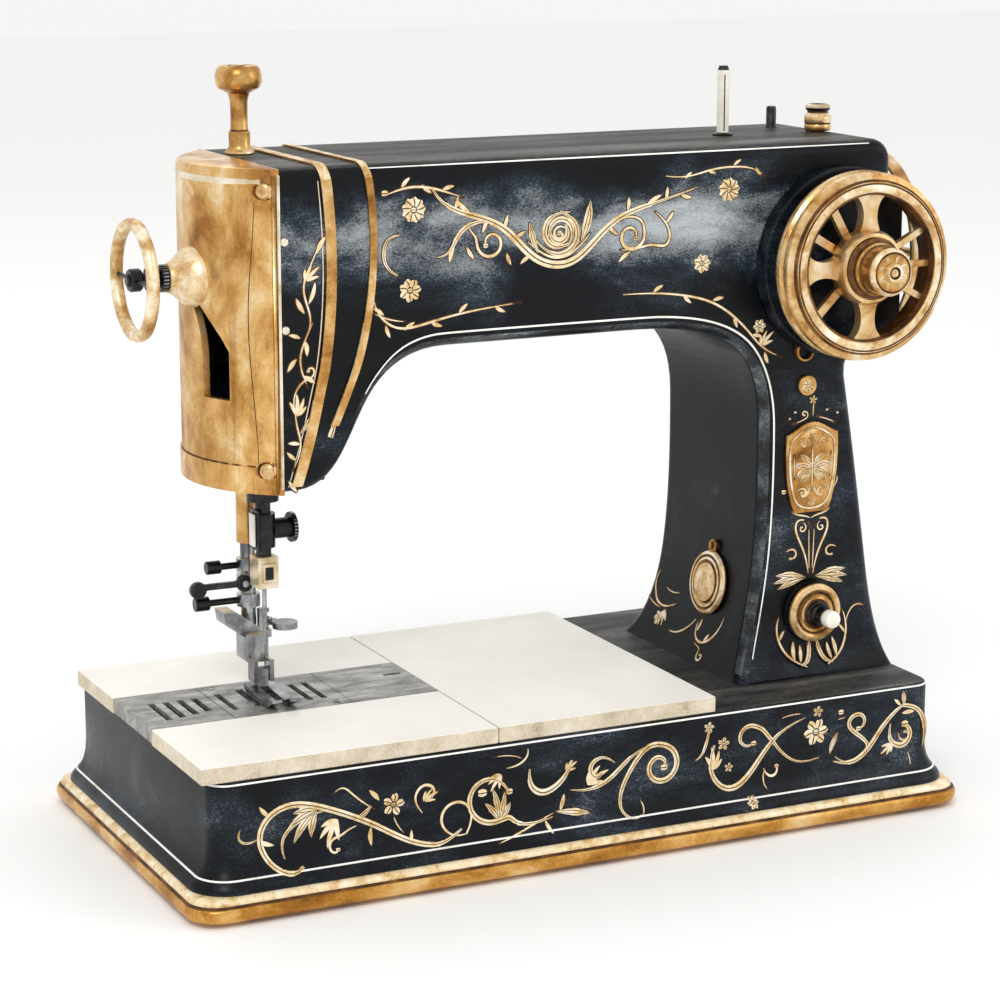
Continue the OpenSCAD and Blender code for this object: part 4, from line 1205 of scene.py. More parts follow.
        # The rounded rim of the arch takes the paler enamel, a painted highlight
        if 0.2 < abs(f.normal.y) < 0.98 and 66 < at.z < self.under + 8 and -98 < at.x < 124:
            return 4
        if abs(f.normal.y) < 0.75 and at.z < self.under + 2 and -100 < at.x < 120:
            return 2
        return 0 if at.z > 212 else 3

    def _wheel_pad(self, bm: bmesh.types.BMesh) -> None:
        """Adds the round boss that the hand wheel turns in front of, cut off at the end of the arm.

        Args:
            bm: the shell.
        """
        low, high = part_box("hand_wheel")
        centre = (low + high) / 2
        pad = turned(
            [(0, 8), (46, 8), (46, 1.6), (45.4, 0.5), (44.2, 0), (13.5, 0), (13, 0.6), (12.5, -1.2),
                (0, -1.2)],
            Vector((centre.x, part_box("arm_casting")[0].y + 2 * MM, centre.z)), Vector((0, 1, 0)), 96,
        )
        for at, normal in ((mm(self.right, 0, 0), (1, 0, 0)), (mm(0, 0, self.top - 5), (0, 0, 1))):
            cut = bmesh.ops.bisect_plane(
                pad, geom=[*pad.verts, *pad.edges, *pad.faces], dist=1e-7, plane_co=at, plane_no=normal,
                clear_outer=True,
            )
            rim = [g for g in cut["geom_cut"] if isinstance(g, bmesh.types.BMEdge)]
            bmesh.ops.contextual_create(pad, geom=rim)
        self._join(bm, pad, 3)

    def _small_pads(self, bm: bmesh.types.BMesh) -> None:
        """Adds the pad under the stitch dial.

        Args:
            bm: the shell.
        """
        low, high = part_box("stitch_dial")
        middle = (low + high) / 2
        pad = turned(
            [(0, 8), (16.4, 8), (15.8, 1.2), (15.0, 0.2), (0, 0.2)],
            Vector((middle.x, -(self.waist + 3) * MM, middle.z)), Vector((0, 1, 0)), 64,
        )
        self._join(bm, pad, 3)

    @staticmethod
    def _join(bm: bmesh.types.BMesh, extra: bmesh.types.BMesh, finish: int) -> None:
        """Adds one mesh to another.

        Args:
            bm: the mesh that grows.
            extra: the mesh that is added and freed.
            finish: number of its finish.
        """
        for f in extra.faces:
            f.material_index = finish
        carrier = bpy.data.meshes.new("carrier")
        extra.to_mesh(carrier)
        extra.free()
        bm.from_mesh(carrier)
        bpy.data.meshes.remove(carrier)

    def _front(self, u: float, v: float, w: float) -> Vector:
        """Lays a point of a drawing on the front of the casting."""
        return mm(u, -self.depth_at(v) - w - 0.1, v)

    def _throat_side(self, u: float, v: float, w: float) -> Vector:
        """Lays a point of a drawing on the pillar's left side, with the drawing's right towards the front."""
        return mm(reading(self.pillar_left, v) - w - 0.15, -u, v)

    def _edge_lines(self) -> None:
        """Ivory pin-lines along the top of the arm, down the arch and down the pillar's near edge, also
        painted highlights there.
        """
        brush = Brush("arm_pin_line_highlights", "frame", self._front, PINLINE, 0.2, 0.0)
        arch = [(x - 1.0, z + 6.6) for x, z in self.arch_left[2:]]
        arch += [(x + 6.4 * (i / 18), z + 6.6 - 6.6 * (i / 18) ** 2)
            for i, (x, z) in enumerate(self.arch_right[1:], 1)]
        arch += [(x + 6.4, z) for x, z in self.pillar_left[1:15]]
        brush.stroke(arch, 1.0, 0.5, 0.6)
        brush.finish_piece()
        rim = Brush(
            "arm_top_pin_line_highlight", "frame",
            lambda u, v, w: mm(u, -self.half + 1.7 - v * 0.7 - w * 0.7, self.top - 1.7 - v * 0.7 + w * 0.7),
            PINLINE, 0.2, 0.0,
        )
        rim.stroke([(-92, 0), (-40, 0), (40, 0), (120, 0), (170, 0)], 1.0, 0.6, 0.6)
        rim.finish_piece()

    def _gilding(self) -> None:
        """All the gold leaf on the head, the arm and the pillar."""
        self._arm_scroll()
        self._head_garland()
        self._pillar_scroll()
        self._throat_spray()

    def _arm_scroll(self) -> None:
        """The rosette and its scrolls along the arm, and the sprays in its corners."""
        brush = Brush("arm_front_scroll", "frame", self._front)
        # Small side shoots on the garland's two arms
        for x, z, angle, length in (
            (-50, 300, 60, 6), (-33, 295, 230, 7), (-20, 286, 10, 6), (-12, 277, 200, 6), (20, 281, 20, 6),
            (28, 289, 300, 7),
            (38, 295, 70, 6), (66, 301, 330, 6),
        ):
            brush.leaf((x, z), angle, length, 2.6, 0.25)
        # Rosette with whorled petals
        for radius, start in ((13.0, 190), (10.4, 60), (8.2, 300), (6.0, 150)):
            brush.curl((3, 287), radius, 0.72, start, Hand.LEFT, 2.6, inner=0.72, bead=False)
        brush.curl((3, 286), 4.6, 1.2, 20, Hand.LEFT, 1.8)
        brush.leaf((14, 282), 62, 19, 5.0, 0.25)
        brush.leaf((-8, 278), 118, 15, 4.0, -0.2)
        # Main garland under the rosette, rising to both sides
        brush.stroke(
            [(-61, 310), (-57, 303), (-46, 298), (-34, 295), (-24, 290), (-16, 281), (-8, 274), (3, 271),
                (13, 274),
             (22, 283), (31, 291), (43, 296), (58, 299), (75, 304)], 3.6, 0.3, 0.2)
        brush.stroke([(-14, 284), (-5, 276), (4, 274), (12, 278), (19, 286)], 1.8)
        brush.leaf((-42, 298), 150, 10, 3.0, -0.2)
        brush.leaf((-26, 289), 60, 8, 2.6, 0.2)
        brush.leaf((48, 297), 40, 9, 2.8, -0.2)
        brush.leaf((58, 299), 70, 6, 2.4, 0.2)
        # Left scroll
        brush.stroke([(-22, 288), (-32, 295), (-44, 294), (-50, 286), (-53, 279), (-59, 279)], 2.2)
        brush.curl((-32, 284), 8.0, 1.15, 150, Hand.LEFT, 1.9, lead=[(-44, 294), (-42, 289)], inner=0.35)
        brush.leaf((-50, 284), 235, 8, 3.0, 0.3)
        brush.leaf((-44, 283), 290, 7, 2.6, 0.2)
        brush.leaf((-24, 279), 280, 6, 2.4, 0.2)
        # Right scroll
        brush.curl((40, 283), 8.0, 1.15, 30, Hand.RIGHT, 1.9, lead=[(28, 288), (36, 293), (45, 292)],
            inner=0.35)
        brush.stroke([(34, 277), (42, 276), (50, 280), (58, 276), (62, 282), (58, 290), (52, 294)], 1.7)
        brush.leaf((40, 276), 200, 8, 2.6, 0.3)
        brush.leaf((58, 288), 40, 7, 2.4, 0.2)
        # Sprigs and rosettes
        brush.blossom((-70, 301), 5.4, 9)
        brush.blossom((92, 302), 5.2, 9)
        brush.blossom((-72, 265), 5.0, 7)
        brush.blossom((78, 268), 4.2, 7)
        brush.stroke([(-77, 290), (-83, 290), (-86, 283), (-84, 275), (-78, 272)], 2.0, 0.5, 0.6)
        brush.vine([(-84, 308), (-76, 311), (-66, 312), (-56, 309), (-45, 305)], 1.6, 6)
        brush.bead((-84, 309), 1.8)
        brush.vine([(58, 310), (68, 308), (80, 312), (94, 313), (106, 312), (112, 307)], 1.3, 5)
        # Vines over the arch
        brush.vine([(-91, 268), (-90, 258), (-84, 250), (-75, 247), (-62, 250), (-48, 253), (-30, 255),
            (-16, 256)], 1.5, 6)
        brush.stroke([(-90, 256), (-84, 252), (-74, 251)], 1.5)
        brush.vine([(36, 256), (52, 256), (68, 254), (84, 250), (96, 242), (106, 232), (114, 223),
            (124, 220)], 1.5, 6)
        brush.acanthus((112, 226), 80, 9, Hand.RIGHT)
        brush.blossom((110, 236), 3.2, 6)
        brush.finish_piece()

    def _head_garland(self) -> None:
        """The upright garland between the face plate and the first band."""
        brush = Brush("head_garland", "frame", self._front)
        brush.stroke([(-115, 291), (-117, 284), (-122, 276), (-124, 268), (-121, 260), (-119, 252),
            (-124, 244)], 1.3)
        brush.vine([(-119, 254), (-123, 246), (-127, 238), (-124, 230), (-121, 224)], 1.2, 7)
        brush.leaf((-117, 284), 70, 9, 3.2, -0.2)
        brush.acanthus((-122, 272), 75, 9, Hand.RIGHT)
        brush.leaf((-121, 262), 55, 10, 2.8, 0.3)
        brush.leaf((-123, 258), 130, 8, 3.0, -0.2)
        brush.leaf((-125, 247), 150, 6, 2.4, 0.2)
        brush.curl((-121, 232), 3.8, 0.8, 250, Hand.LEFT, 1.3, lead=[(-126, 208), (-129, 217), (-127, 225)])
        brush.acanthus((-127, 212), 58, 10, Hand.LEFT)
        brush.leaf((-125, 204), 40, 11, 3.4, 0.25)
        brush.stroke([(-127, 220), (-128, 210), (-124, 202), (-125, 194), (-129, 187)], 1.3)
        brush.leaf((-125, 199), 160, 6, 2.4, 0.2)
        brush.leaf((-127, 192), 150, 6, 2.4, -0.2)
        brush.leaf((-126, 190), 20, 6, 2.2, 0.2)
        brush.leaf((-131, 183), -60, 7, 2.6, 0.1)
        brush.finish_piece()

    def _pillar_scroll(self) -> None:
        """The stem and its curls between the shield and the dial, and the branches round the dial."""
        brush = Brush("pillar_front_scroll", "frame", self._front)
        middle = (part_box("stitch_dial")[0].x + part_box("stitch_dial")[1].x) / 2 / MM
        for side in (-1, 1):
            hand = Hand.LEFT if side > 0 else Hand.RIGHT

            def at(x: float, z: float, side: int = side) -> Point2:
                """Returns a point mirrored about the pillar's middle line."""
                return middle + side * x, z

            brush.stroke([at(1.2, 110), at(2.4, 119), at(7, 128), at(10, 134), at(8.5, 139), at(4.5, 138)],
                1.5, 0.3, 0.6)
            brush.curl(at(5.6, 134), 3.2, 0.9, 90, hand, 1.1)
            brush.stroke([at(0.8, 110), at(1.2, 122), at(1.6, 137)], 1.2)
            brush.curl(at(11, 121), 3.8, 0.72, 90 - side * 60, hand, 1.4, inner=0.5)
            # Half leaves spread like wings
            wing = 4 if side > 0 else 176
            for tilt, size in ((16, 17), (4, 18), (-8, 16)):
                brush.leaf(at(3, 109), wing + side * tilt, size, 4.2, side * -0.22)
            # Branches that hold the dial
            brush.stroke([at(2.2, 78), at(2.6, 72), at(4, 67), at(9, 67)], 2.6, 0.6, 0.4)
            brush.stroke([at(6, 66), at(14, 69), at(20, 77), at(20.5, 86), at(18, 91)], 1.6, 0.4, 0.2)
            brush.leaf(at(12, 69), 90 - side * 8, 9, 3.0, side * 0.25)
            brush.leaf(at(9, 68), 90 + side * 20, 8, 2.6, side * -0.2)
            brush.leaf(at(19, 79), 90 + side * 25, 6, 2.0, side * 0.2)
        brush.stroke([(middle + 20, 84), (middle + 22, 92), (middle + 27, 94), (middle + 31, 91)], 1.5)
        # Cresting over the shield
        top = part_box("front_badges")[1].z / MM
        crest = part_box("front_badges")[0].x / MM + 15.5
        brush.stroke([(crest, 189), (crest, 193), (crest + 0.4, 197)], 1.4)
        brush.blossom((crest, 197.5), 2.0, 5)
        brush.curl((crest - 5, 190.5), 2.6, 0.9, 300, Hand.LEFT, 1.0,
            lead=[(crest - 12, 186), (crest - 8, 187)])
        brush.stroke([(crest + 2, 189), (crest + 8, 188), (crest + 13, 185)], 1.2)
        for x, z in ((-13, 189), (-10, 192), (8, 192), (14, 190)):
            brush.bead((crest + x, min(z, top)), 0.8)
        brush.bead((crest - 15.5, 153), 1.5)
        brush.stroke([(crest + 12, 152), (crest + 15.5, 156), (crest + 14.5, 159)], 1.3)
        for side in (-1, 1):
            brush.stroke([(crest + side * 11, 143), (crest + side * 8, 140), (crest + side * 4, 141),
                (crest, 138.6)], 1.7)
        brush.finish_piece()

    def _throat_spray(self) -> None:
        """The spray round the medallion on the pillar's left side."""
        brush = Brush("throat_side_spray", "frame", self._throat_side)
        brush.stroke([(-40, 97), (-44, 92), (-41, 85), (-36, 80), (-26, 80), (-18, 84)], 1.7)
        brush.stroke([(-46, 82), (-40, 79), (-32, 79)], 1.5)
        brush.stroke([(-32, 90), (-26, 87), (-16, 90)], 1.4)
        brush.acanthus((-26, 79), 240, 8, Hand.LEFT)
        brush.blossom((-31, 74), 3.4, 6)
        brush.stroke([(-18, 71), (-10, 70), (-2, 74), (4, 82)], 1.6)
        brush.stroke([(6, 81), (5, 75), (11, 71), (20, 73), (27, 81), (28, 88)], 1.7)
        brush.leaf((7, 76), 60, 7, 2.6, 0.2)
        brush.leaf((16, 72), 70, 6, 2.6, -0.2)
        brush.curl((18, 66.5), 3.6, 1.0, 120, Hand.LEFT, 1.3, lead=[(8, 71), (12, 70)])
        brush.finish_piece()

    def _bands(self) -> None:
        """The two gold bands round the head, their tops a painted highlight, their ivory lines and the drop
        at the end of one.
        """
        for node in ("trim_band_front", "trim_band_rear"):
            # Faces that look up take the brighter brass: a painted highlight
            refine(node, "frame", BRASS, 0.3, BRASS_BRIGHT, lambda f: f.normal.z > 0.2)
        lines = Brush("head_band_line", "frame", self._front, CREAM_EDGE, 0.2, 0.0)
        run = []
        for i in range(9):
            z = 180 + 17 * i
            run.append((-410 + math.sqrt(296.4**2 - (z - 280) ** 2), z))
        lines.stroke(run, 0.6, 0.7, 0.7)
        lines.finish_piece()
        drop = Brush("band_end_drop", "frame", self._front, BRASS_BRIGHT, 0.7, 0.3)
        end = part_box("trim_band_rear")[0]
        x, z = end.x / MM + 1.6, end.z / MM
        drop.stroke([(x + 0.6, z + 1), (x - 0.8, z - 2.4), (x - 1.6, z - 5)], 3.2, 0.5, 0.8)
        drop.finish_piece()


# ---------------------------------------------------------------- head fittings


@dataclass
class Head:
    """The brass face plate and all that is fixed to it."""

    edge_round: float = 3.5

    def build(self) -> None:
        """Makes every piece on the head."""
        self._face_plate()
        self._lip()
        refine("cover_screws", "frame", BRASS_BRIGHT, 0.25)
        refine("tension_boss", "frame", BRASS_BRIGHT, 0.6)
        self._stem()
        self._ring()
        self._knob()
        self._face_screws()
        self._engraving()
        self._springs()
        refine("rear_cover_plate", "frame", BRASS, 0.5)
        refine("take_up_lever", "take_up", STEEL, 0.25)

    def _face_plate(self) -> None:
        """The curved plate, its top edge well rounded."""
        bm = model_copy("face_plate")
        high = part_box("face_plate")[1]
        rim = [
            e for e in sharp_edges(bm, 60)
            if min(v.co.z for v in e.verts) > high.z - 0.2 * MM
            and max((v.co.xy - Vector((-99 * MM, 0))).length for v in e.verts) > 60.4 * MM
            and max(v.co.x for v in e.verts) < -134.2 * MM
        ]
        round_edges(bm, rim, self.edge_round, 4)
        publish(bm, "face_plate_finished", "frame", [BRASS_FACE], ["face_plate"], 0.35)

    def _lip(self) -> None:
        """A bright nickel strip between the plate and the head, a painted highlight on the plate's edge, with
        two rivets.
        """
        low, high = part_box("face_plate")
        at = (low.x / MM + 26.2, -50.35)
        bm = bmesh.new()
        matrix = Matrix.Translation(mm(at[0], at[1], (low.z + high.z) / 2 / MM)) @ Matrix.Diagonal(
            (1.4 * MM, 1.2 * MM, high.z - low.z - 5 * MM, 1.0)
        )
        bmesh.ops.create_cube(bm, size=1.0, matrix=matrix)
        round_edges(bm, list(bm.edges), 0.45, 2)
        publish(bm, "face_plate_edge_highlight", "frame", [WARM_NICKEL])
        for i, z in enumerate((290.0, 251.0)):
            rivet = turned(
                [(0, 1.5), (0.9, 1.35), (1.7, 0.8), (2.0, 0.0), (2.0, -0.6)], mm(at[0] + 2.6, -Arm.half, z),
                Vector((0, -1, 0)), 24,
            )
            publish(rivet, f"head_rivet_{i + 1}", "frame", [WARM_NICKEL])

    def _face_screws(self) -> None:
        """Domed brass screws in the rounded face: two by each edge and one at the upper left."""
        for i, (angle, z) in enumerate(((48.2, 312.0), (-48.2, 312.0), (48.2, 187.5), (-48.2, 187.5),
            (6.5, 309.0))):
            a = math.radians(angle)
            reach = 61.7 if z < 190 else 60.9
            spot = mm(-99 - reach * math.cos(a), -reach * math.sin(a), z)
            dome = turned(
                [(0, 1.3, 1), (1.2, 1.2, 1), (2.6, 0.8, 0), (3.4, 0.3, 0), (3.7, -0.1, 2), (4.0, -0.3, 2),
                    (4.3, 0.0, 0), (4.5, -0.8, 0)],
                spot, Vector((-math.cos(a), -math.sin(a), 0)), 36,
            )
            publish(dome, f"face_plate_dome_{i + 1}", "frame", [BRASS, BRASS_BRIGHT, BRASS_DARK], crease=60)

    def _engraving(self) -> None:
        """A painted highlight under the rounded top edge, and the scored lines of the rounded face."""

        def lay(u: float, v: float, w: float) -> Vector:
            """Lays a point on the rounded face.

            Args:
                u: the arc length towards the front.
                v: the height.
                w: how far it stands proud.

            Returns:
                The point in metres.
            """
            a = u / 61
            reach = (61.85 if v < 189 else 61.05) + w
            return mm(-99 - reach * math.cos(a), -reach * math.sin(a), v)

        # A pale strip under the top edge: a painted highlight
        rim = Brush("face_plate_painted_highlight", "frame", lay, WARM_NICKEL, 0.12, 0.0)
        rim.stroke([(-24, 317.0), (-8, 316.2), (10, 315.8), (30, 315.8), (50, 316.2)], 3.0, 0.1, 0.7)
        rim.finish_piece()
        score = Brush("face_plate_score", "frame", lay, BRASS_DARK, 0.15, 0.0)
        score.stroke([(-48, 189.4), (-20, 189.4), (0, 189.4), (30, 189.4), (52, 189.4)], 0.7, 0.8, 0.8)
        score.stroke([(47, 308), (46, 290), (42, 262), (44, 230), (47, 200), (47, 190)], 0.5, 0.6, 0.6)
        score.finish_piece()

    def _springs(self) -> None:
        """The bright thread springs seen through the opening."""
        bm = bmesh.new()
        for i in range(4):
            bmesh.ops.create_cone(
                bm, cap_ends=True, segments=12, radius1=0.8 * MM, radius2=0.8 * MM, depth=17 * MM,
                matrix=Matrix.Translation(mm(-146, -29 + 3.2 * i, 232)),
            )
        publish(bm, "take_up_springs", "frame", [STEEL])

    def _stem(self) -> None:
        """The blackened stem with its knurled collars."""
        low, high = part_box("tension_stem")
        centre = Vector((0, (low.y + high.y) / 2, (low.z + high.z) / 2))
        tip = low.x / MM
        profile = [(0, tip), (2.2, tip), (3.0, tip + 0.8), (3.0, tip + 9.4)]
        for start, end, radius in ((9.5, 12.5, 5.6), (13.0, 14.8, 4.4), (15.4, 18.7, 6.0)):
            profile += [(3.4, tip + start - 0.1), (radius - 0.5, tip + start), (radius, tip + start + 0.5),
                        (radius, tip + end - 0.5), (radius - 0.5, tip + end), (3.4, tip + end + 0.1)]
        profile += [(3.0, tip + 19.2), (3.0, high.x / MM), (0, high.x / MM)]
        bm = turned(profile, centre, Vector((1, 0, 0)), 48)
        publish(bm, "tension_stem_finished", "frame", [STEEL_BLACK], ["tension_stem"])
        ribs = bmesh.new()
        for start, radius in ((11.0, 5.6), (17.0, 6.0)):
            for i in range(24):
                a = 2 * math.pi * i / 24
                spot = centre + mm(tip + start, radius * math.cos(a), radius * math.sin(a))
                bmesh.ops.create_cube(
                    ribs, size=1.0,
                    matrix=Matrix.Translation(spot) @ Matrix.Rotation(a, 4, "X")
                    @ Matrix.Diagonal((2.2 * MM, 0.5 * MM, 0.5 * MM, 1)),
                )
        publish(ribs, "tension_stem_knurl", "frame", [STEEL])

    def _ring(self) -> None:
        """The tension ring: a flat-sided hoop with a small hub and a cross wire."""
        low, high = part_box("tension_ring")
        centre = (low + high) / 2
        hoop = turned(
            [(22.6, -1.6), (22.3, 0), (22.6, 1.6), (23.6, 2.6), (25.6, 2.9), (27.0, 2.2), (27.6, 0.6),
                (27.6, -0.6),
             (27.0, -2.2), (25.6, -2.9), (23.6, -2.6), (22.6, -1.6)], centre, Vector((1, 0, 0)), 96,
        )
        publish(hoop, "tension_ring_finished", "tension", [BRASS_BRIGHT], ["tension_ring"], crease=50)
        bm = turned([(3.05, -2.8), (4.6, -2.8), (5.2, -2.0), (5.2, 2.0), (4.6, 2.8), (3.05, 2.8),
            (3.05, -2.8)],
                    centre, Vector((1, 0, 0)), 40)
        for side in (-1, 1):
            bmesh.ops.create_cone(
                bm, cap_ends=True, segments=16, radius1=1.0 * MM, radius2=1.0 * MM, depth=18.4 * MM,
                matrix=Matrix.Translation(centre + mm(0, side * 13.8, 0))
                @ Matrix.Rotation(math.pi / 2, 4, "X"),
            )
        publish(bm, "tension_ring_hub", "tension", [STEEL_BLACK])

    def _knob(self) -> None:
        """The presser regulator: a waisted stem on a spreading foot, with a rolled flat head."""
        low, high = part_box("pressure_regulator")
        centre = Vector(((low.x + high.x) / 2, (low.y + high.y) / 2, 0))
        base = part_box("face_plate")[1].z / MM
        profile = [(0, base - 9.5), (4.0, base - 9.5), (4.0, base + 0.4), (7.0, base + 0.4),
            (6.8, base + 1.2),
                   (5.4, base + 2.4), (4.9, base + 3.4), (5.0, base + 9.6, 0), (4.4, base + 10.2, 1),
                   (4.0, base + 11.0, 0),
                   (3.9, base + 18), (4.1, base + 24), (5.0, base + 27.4), (7.2, base + 28.6),
                   (9.6, base + 29.8),
                   (10.7, base + 32.4), (10.7, base + 35.6), (9.8, base + 38.6, 0), (8.6, base + 39.8, 2),
                   (7.4, base + 39.2, 2), (3.4, base + 39.6, 2), (2.6, base + 40.3, 2), (0, base + 40.5, 2)]
        bm = turned(profile, centre, Vector((0, 0, 1)), 72)
        publish(bm, "pressure_knob_finished", "regulator", [BRASS, BRASS_DARK, BRASS_BRIGHT],
            ["pressure_regulator"])
        swirl = Brush(
            "pressure_knob_engraving", "regulator",
            lambda u, v, w: centre + mm(u, v, base + 39.9 + w), BRASS_DARK, 0.3, 0.0,
        )
        swirl.curl((0, 0), 6.2, 1.4, 30, Hand.LEFT, 0.9, bead=False)
        swirl.finish_piece()


# ---------------------------------------------------------------- needle works


@dataclass
class NeedleWorks:
    """The needle bar, the presser bar and all that hangs on them."""

    def build(self) -> None:
        """Makes every piece over the needle plate."""
        refine("bar_guides", "frame", STEEL_BLACK, 0.3, BRASS, self._is_sleeve)
        refine("needle_bar", "needle_bar", STEEL_BLACK, 0.2)
        refine("needle_clamp", "needle_bar", WARM_NICKEL, 0.7)
        refine("needle_clamp_screw", "needle_bar", STEEL_BLACK, 0.4)
        refine("presser_bar", "presser_bar", STEEL, 0.3)
        refine("presser_lifter", "lifter", STEEL_BLACK, 0.5)
        refine("presser_foot_holder", "presser_bar", STEEL, 0.5, WARM_NICKEL, lambda f: f.normal.z > 0.5)
        refine("presser_foot", "foot", STEEL, 0.3)
        refine("presser_thumb_screws", "presser_bar", STEEL_BLACK, 0.5)
        refine("foot_release_lever", "release_lever", STEEL, 0.5)
        self._clamp_window()
        self._sight()
        self._knurls()

    @staticmethod
    def _is_sleeve(f: bmesh.types.BMFace) -> bool:
        """Tells the brass sleeve of the needle bar's guide from the black boss."""
        return f.calc_center_median().y / MM > 12

    def _sight(self) -> None:
        """The pale enamel strip on the side of the needle bar's black sleeve."""
        low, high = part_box("needle_clamp_screw")
        bm = bmesh.new()
        at = Vector((low.x + 0.2 * MM, (low.y + high.y) / 2, (low.z + high.z) / 2))
        bmesh.ops.create_cube(
            bm, size=1.0, matrix=Matrix.Translation(at)
            @ Matrix.Diagonal((1.0 * MM, 6.4 * MM, 15.5 * MM, 1.0))
        )
        round_edges(bm, list(bm.edges), 0.4, 2)
        publish(bm, "needle_bar_sight", "needle_bar", [IVORY])

    def _clamp_window(self) -> None:
        """The blued steel inlay in the face of the needle clamp."""
        low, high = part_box("needle_clamp")
        bm = bmesh.new()
        at = Vector(((low.x + high.x) / 2, low.y - 0.1 * MM, low.z + 7.5 * MM))
        bmesh.ops.create_cube(
            bm, size=1.0, matrix=Matrix.Translation(at) @ Matrix.Diagonal((4.0 * MM, 0.8 * MM, 6.0 * MM, 1.0))
        )
        round_edges(bm, list(bm.edges), 0.35, 2)
        publish(bm, "needle_clamp_window", "needle_bar", [STEEL_BLACK])

    def _knurls(self) -> None:
        """Fine ribs round the needle clamp's thumb screw."""
        low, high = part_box("needle_clamp_screw")
        centre = Vector((high.x, (low.y + high.y) / 2, (low.z + high.z) / 2 - 0.5 * MM))
        bm = bmesh.new()
        for i in range(28):
            a = 2 * math.pi * i / 28
            spot = centre + mm(-1.0, 6.9 * math.cos(a), 6.9 * math.sin(a))
            bmesh.ops.create_cube(
                bm, size=1.0,
                matrix=Matrix.Translation(spot) @ Matrix.Rotation(a, 4, "X")
                @ Matrix.Diagonal((1.7 * MM, 0.5 * MM, 0.5 * MM, 1)),
            )
        publish(bm, "needle_screw_knurl", "needle_bar", [STEEL])


# ---------------------------------------------------------------- wheels


@dataclass
class Wheels:
    """The hand wheel with its clutch, and the balance wheel on the arm shaft."""

    radius: float = 45.0

    def build(self) -> None:
        """Makes every piece of the wheels."""
        self._hand_wheel()
        self._rim_bands()
        self._clutch()
        refine("balance_wheel", "arm_shaft", BRASS_WHEEL, 0.5, BRASS_BRIGHT, lambda f: f.normal.x > 0.6)
        refine("balance_wheel_nut", "arm_shaft", BRASS_DARK, 0.4)

    def _centre(self) -> Vector:
        """Returns the hand wheel's axis, at Y zero."""
        low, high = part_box("hand_wheel")
        return Vector(((low.x + high.x) / 2, 0.0, (low.z + high.z) / 2))

    def _hand_wheel(self) -> None:
        """The wheel itself, with its edges rounded and the insides of its openings browned."""
        centre = self._centre()

        def inside(f: bmesh.types.BMFace) -> bool:
            """Tells the rim's inner wall, where oil and dust gather.

            Args:
                f: a face of the wheel.

            Returns:
                Whether it is on that wall.
            """
            out = f.calc_center_median() - centre
            out.y = 0
            return 33 * MM < out.length < 36.5 * MM and f.normal.dot(out.normalized()) < -0.6

        refine("hand_wheel", "hand_wheel", BRASS_WHEEL, 0.8, BRASS_DARK, inside)

    def _rim_bands(self) -> None:
        """Painted highlights as bright bands on the rim's face and edge, and dark grooves, standing a hair
        proud of it.
        """
        centre = self._centre()
        r = self.radius
        # A bright band on the rim's face: a painted highlight
        bright = turned(
            [(r - 9.2, 79.45), (r - 8.8, 79.9), (r - 7.4, 80.1), (r - 6.0, 79.9), (r - 5.6, 79.45)], centre,
            Vector((0, -1, 0)), 96
        )
        publish(bright, "hand_wheel_painted_highlight_band", "hand_wheel", [BRASS_BRIGHT], crease=60)
        for i, (radius, along) in enumerate(((r - 3.9, 78.5), (r - 9.9, 79.3), (r - 5.3, 79.3))):
            groove = turned(
                [(radius - 0.55, along - 0.5), (radius - 0.4, along + 0.35), (radius + 0.4, along + 0.35),
                    (radius + 0.55, along - 0.5)],
                centre, Vector((0, -1, 0)), 96,
            )
            publish(groove, f"hand_wheel_groove_{i + 1}", "hand_wheel", [BRASS_DARK], crease=60)
        # A bright band round the rim's outer edge: a painted highlight
        edge = turned(
            [(r - 0.4, 67.3), (r + 0.0, 67.8), (r + 0.05, 69.2), (r - 0.4, 69.9)], centre, Vector((0, -1, 0)),
            96
        )
        publish(edge, "hand_wheel_edge_painted_highlight", "hand_wheel", [BRASS_BRIGHT], crease=60)

    def _clutch(self) -> None:
        """The clutch nut in stepped rings, darkened as painted shade where they step in, with a ring of
        petals round its screw.
        """
        centre = self._centre()
        # Finish 1 darkens the steps between the rings: painted shade
        nut = turned(
            [(4.05, 79.0), (14.2, 79.0), (14.4, 80.5, 0), (14.2, 82.3, 1), (12.6, 83.2, 1), (12.4, 84.6, 0),
                (12.6, 85.6, 0),
             (11.8, 86.6, 1), (11.3, 87.4, 0), (11.5, 89, 0), (11.5, 95.6, 2), (11.0, 97.0, 2),
             (9.8, 98.0, 1), (9.2, 97.6, 1),
             (8.8, 98.0, 0), (4.05, 98.0)], centre, Vector((0, -1, 0)), 72,
        )
        publish(nut, "clutch_nut_finished", "hand_wheel", [BRASS, BRASS_DARK, BRASS_BRIGHT], ["clutch_nut"])
        petals = Brush(
            "clutch_petals", "hand_wheel", lambda u, v, w: centre + mm(u, -98.0 - w, v), BRASS_BRIGHT, 0.5,
            0.3
        )
        for i in range(8):
            a = math.radians(45 * i + 22.5)
            petals.stroke(
                [(4.9 * math.cos(a), 4.9 * math.sin(a)), (6.6 * math.cos(a + 0.1), 6.6 * math.sin(a + 0.1)),
                 (8.2 * math.cos(a), 8.2 * math.sin(a))], 2.4, 0.6, 0.25)
        petals.finish_piece()
        screw = turned(
            [(0, 97.6), (1.0, 97.9, 2), (1.6, 99.0, 2), (1.9, 99.3, 1), (2.5, 98.7, 1), (3.0, 99.9, 0),
                (4.0, 100.3, 0), (4.5, 99.4, 0),
             (4.6, 98.0)], centre, Vector((0, -1, 0)), 48,
        )
        publish(screw, "clutch_screw_finished", "hand_wheel", [BRASS_BRIGHT, BRASS_DARK, BRASS_BRIGHT],
            ["clutch_screw"])


# ---------------------------------------------------------------- pillar and top fittings


